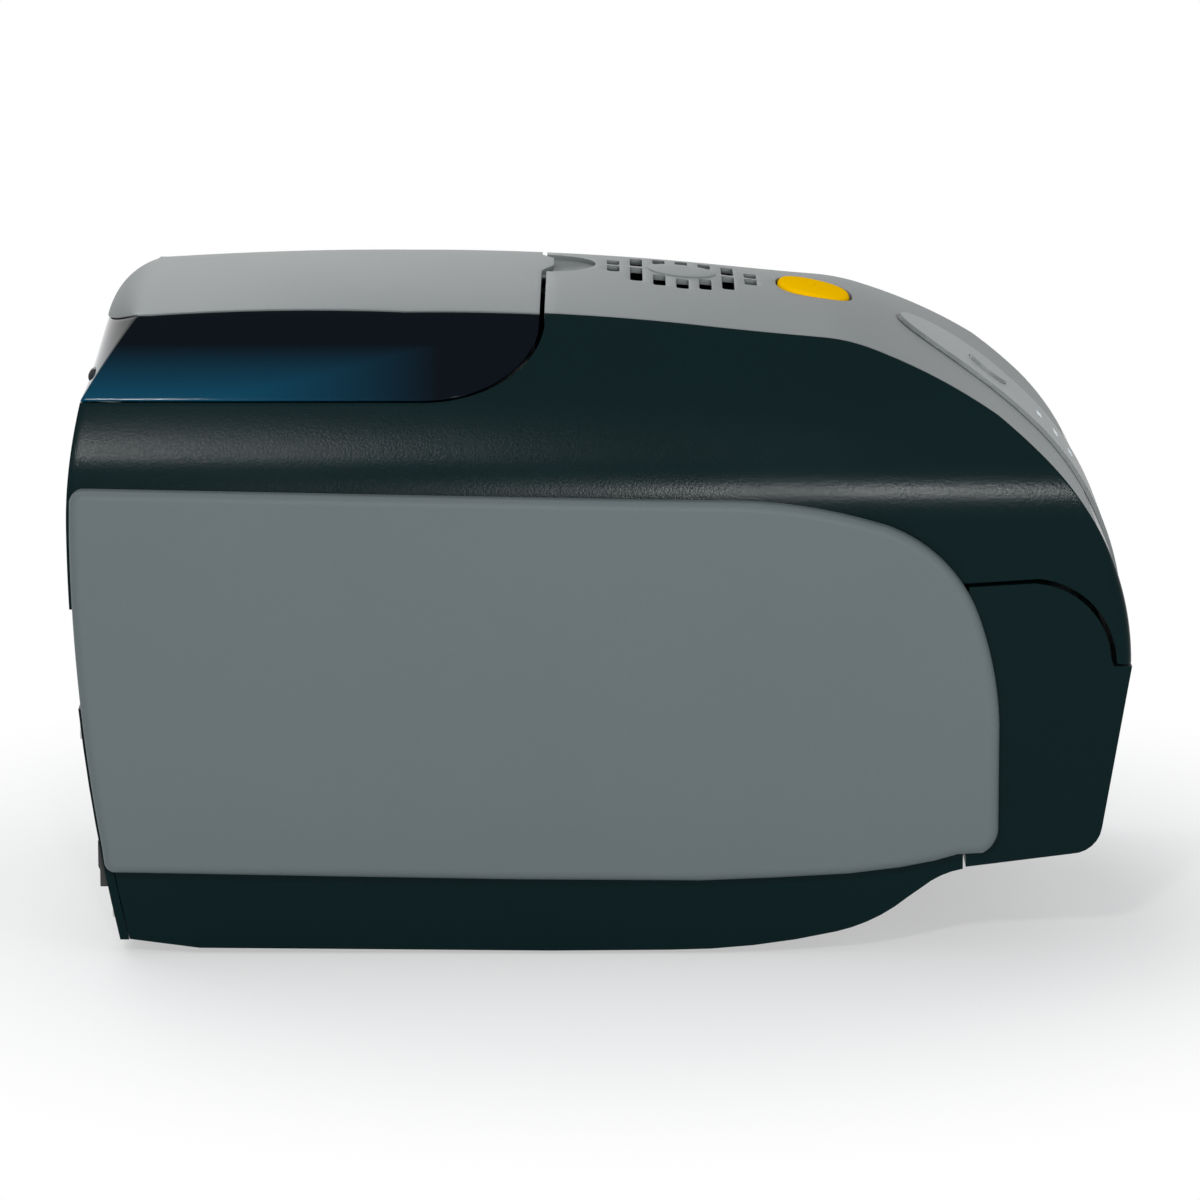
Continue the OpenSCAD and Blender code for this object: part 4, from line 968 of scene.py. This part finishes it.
# side panels: the arcs are centre X and Z, radius, first and last angle, and points
panelPlan = {
    "inY": 92, "outY": 97.5, "round": 3.2, "roundCols": 10, "rim": 0.4,
    "bottom": [(-164, 30.6), (-100, 29.4), (-30, 28.2), (34.7, 27.8), (60, 28.8), (86.6, 30.3), (104, 32.5),
               (116, 34.9), (124, 37.2)],
    "frontArcs": [(128, 46.5, 10, -62, 0, 8), (14, 79, 124, 2, 20, 14), (80.7, 103.3, 53, 24, 71, 26),
                  (41.8, -23, 185, 75, 90, 16)],
    "top": [(20, 162.2), (0, 162.5), (-60, 163.6), (-120, 164.8), (-174, 165.9)],
    "rearArcs": [(-177, 161, 5, 100, 172, 8), (-168, 34.6, 4, 190, 260, 6)],
    "rearZ": (150, 40), "rearCols": 16, "rearIn": 1.2,
}


def panelOutline():
    # the panel's edge: a bottom line, a corner, the front's two arcs, the long top arc and the rear
    p = panelPlan
    z = np.linspace(*p["rearZ"], p["rearCols"])
    rear = np.stack([rearX(z) + p["rearIn"], z], -1)
    front = [arcLine(*arc) for arc in p["frontArcs"]]
    upper, lower = [arcLine(*arc) for arc in p["rearArcs"]]
    return np.concatenate([p["bottom"], *front, p["top"], upper, rear, lower])


for name, side in (("leftSidePanel", -1), ("rightSidePanel", 1)):
    node = "right_side_panel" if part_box("right_side_panel")[0][1] * side > 0 else "left_side_panel"
    edge = roundLevels(panelPlan["inY"], panelPlan["outY"], panelPlan["round"], panelPlan["roundCols"])
    edge.append((panelPlan["round"] + panelPlan["rim"], panelPlan["outY"]))
    piece = ringSolid(name, panelOutline(), [(inset, side * y) for inset, y in edge], upright)
    smoothByAngle(piece, 60)
    finish(piece, "root", "grey_panel", node)
print("side panels made")

# the other pieces keep their solid's shape and take a finish and softened edges
slotOf = {row["node"]: row["material_slot"] for row in frame["record"]["subparts"]}
replaced = {"cover_shell", "cover_top", "release_button", "control_panel", "lid_top", "lid_window",
            "left_side_panel", "right_side_panel"}
edgeWidth = {"base_case": 0.8, "output_hopper": 0.8, "rear_panel": 0.5, "control_button": 0.6, "feet": 0.8}
otherEdge, otherLimit = 0.25, 40
weldGap = 0.00001  # metres
for node, piece in frame["nodes"].items():
    if node in replaced:
        continue
    piece.data.materials.clear()
    piece.data.materials.append(finishOf(slotOf[node]))
    weld = piece.modifiers.new("weld", "WELD")
    weld.merge_threshold = weldGap
    addBevel(piece, edgeWidth.get(node, otherEdge), 2, otherLimit)
print("inner pieces finished")
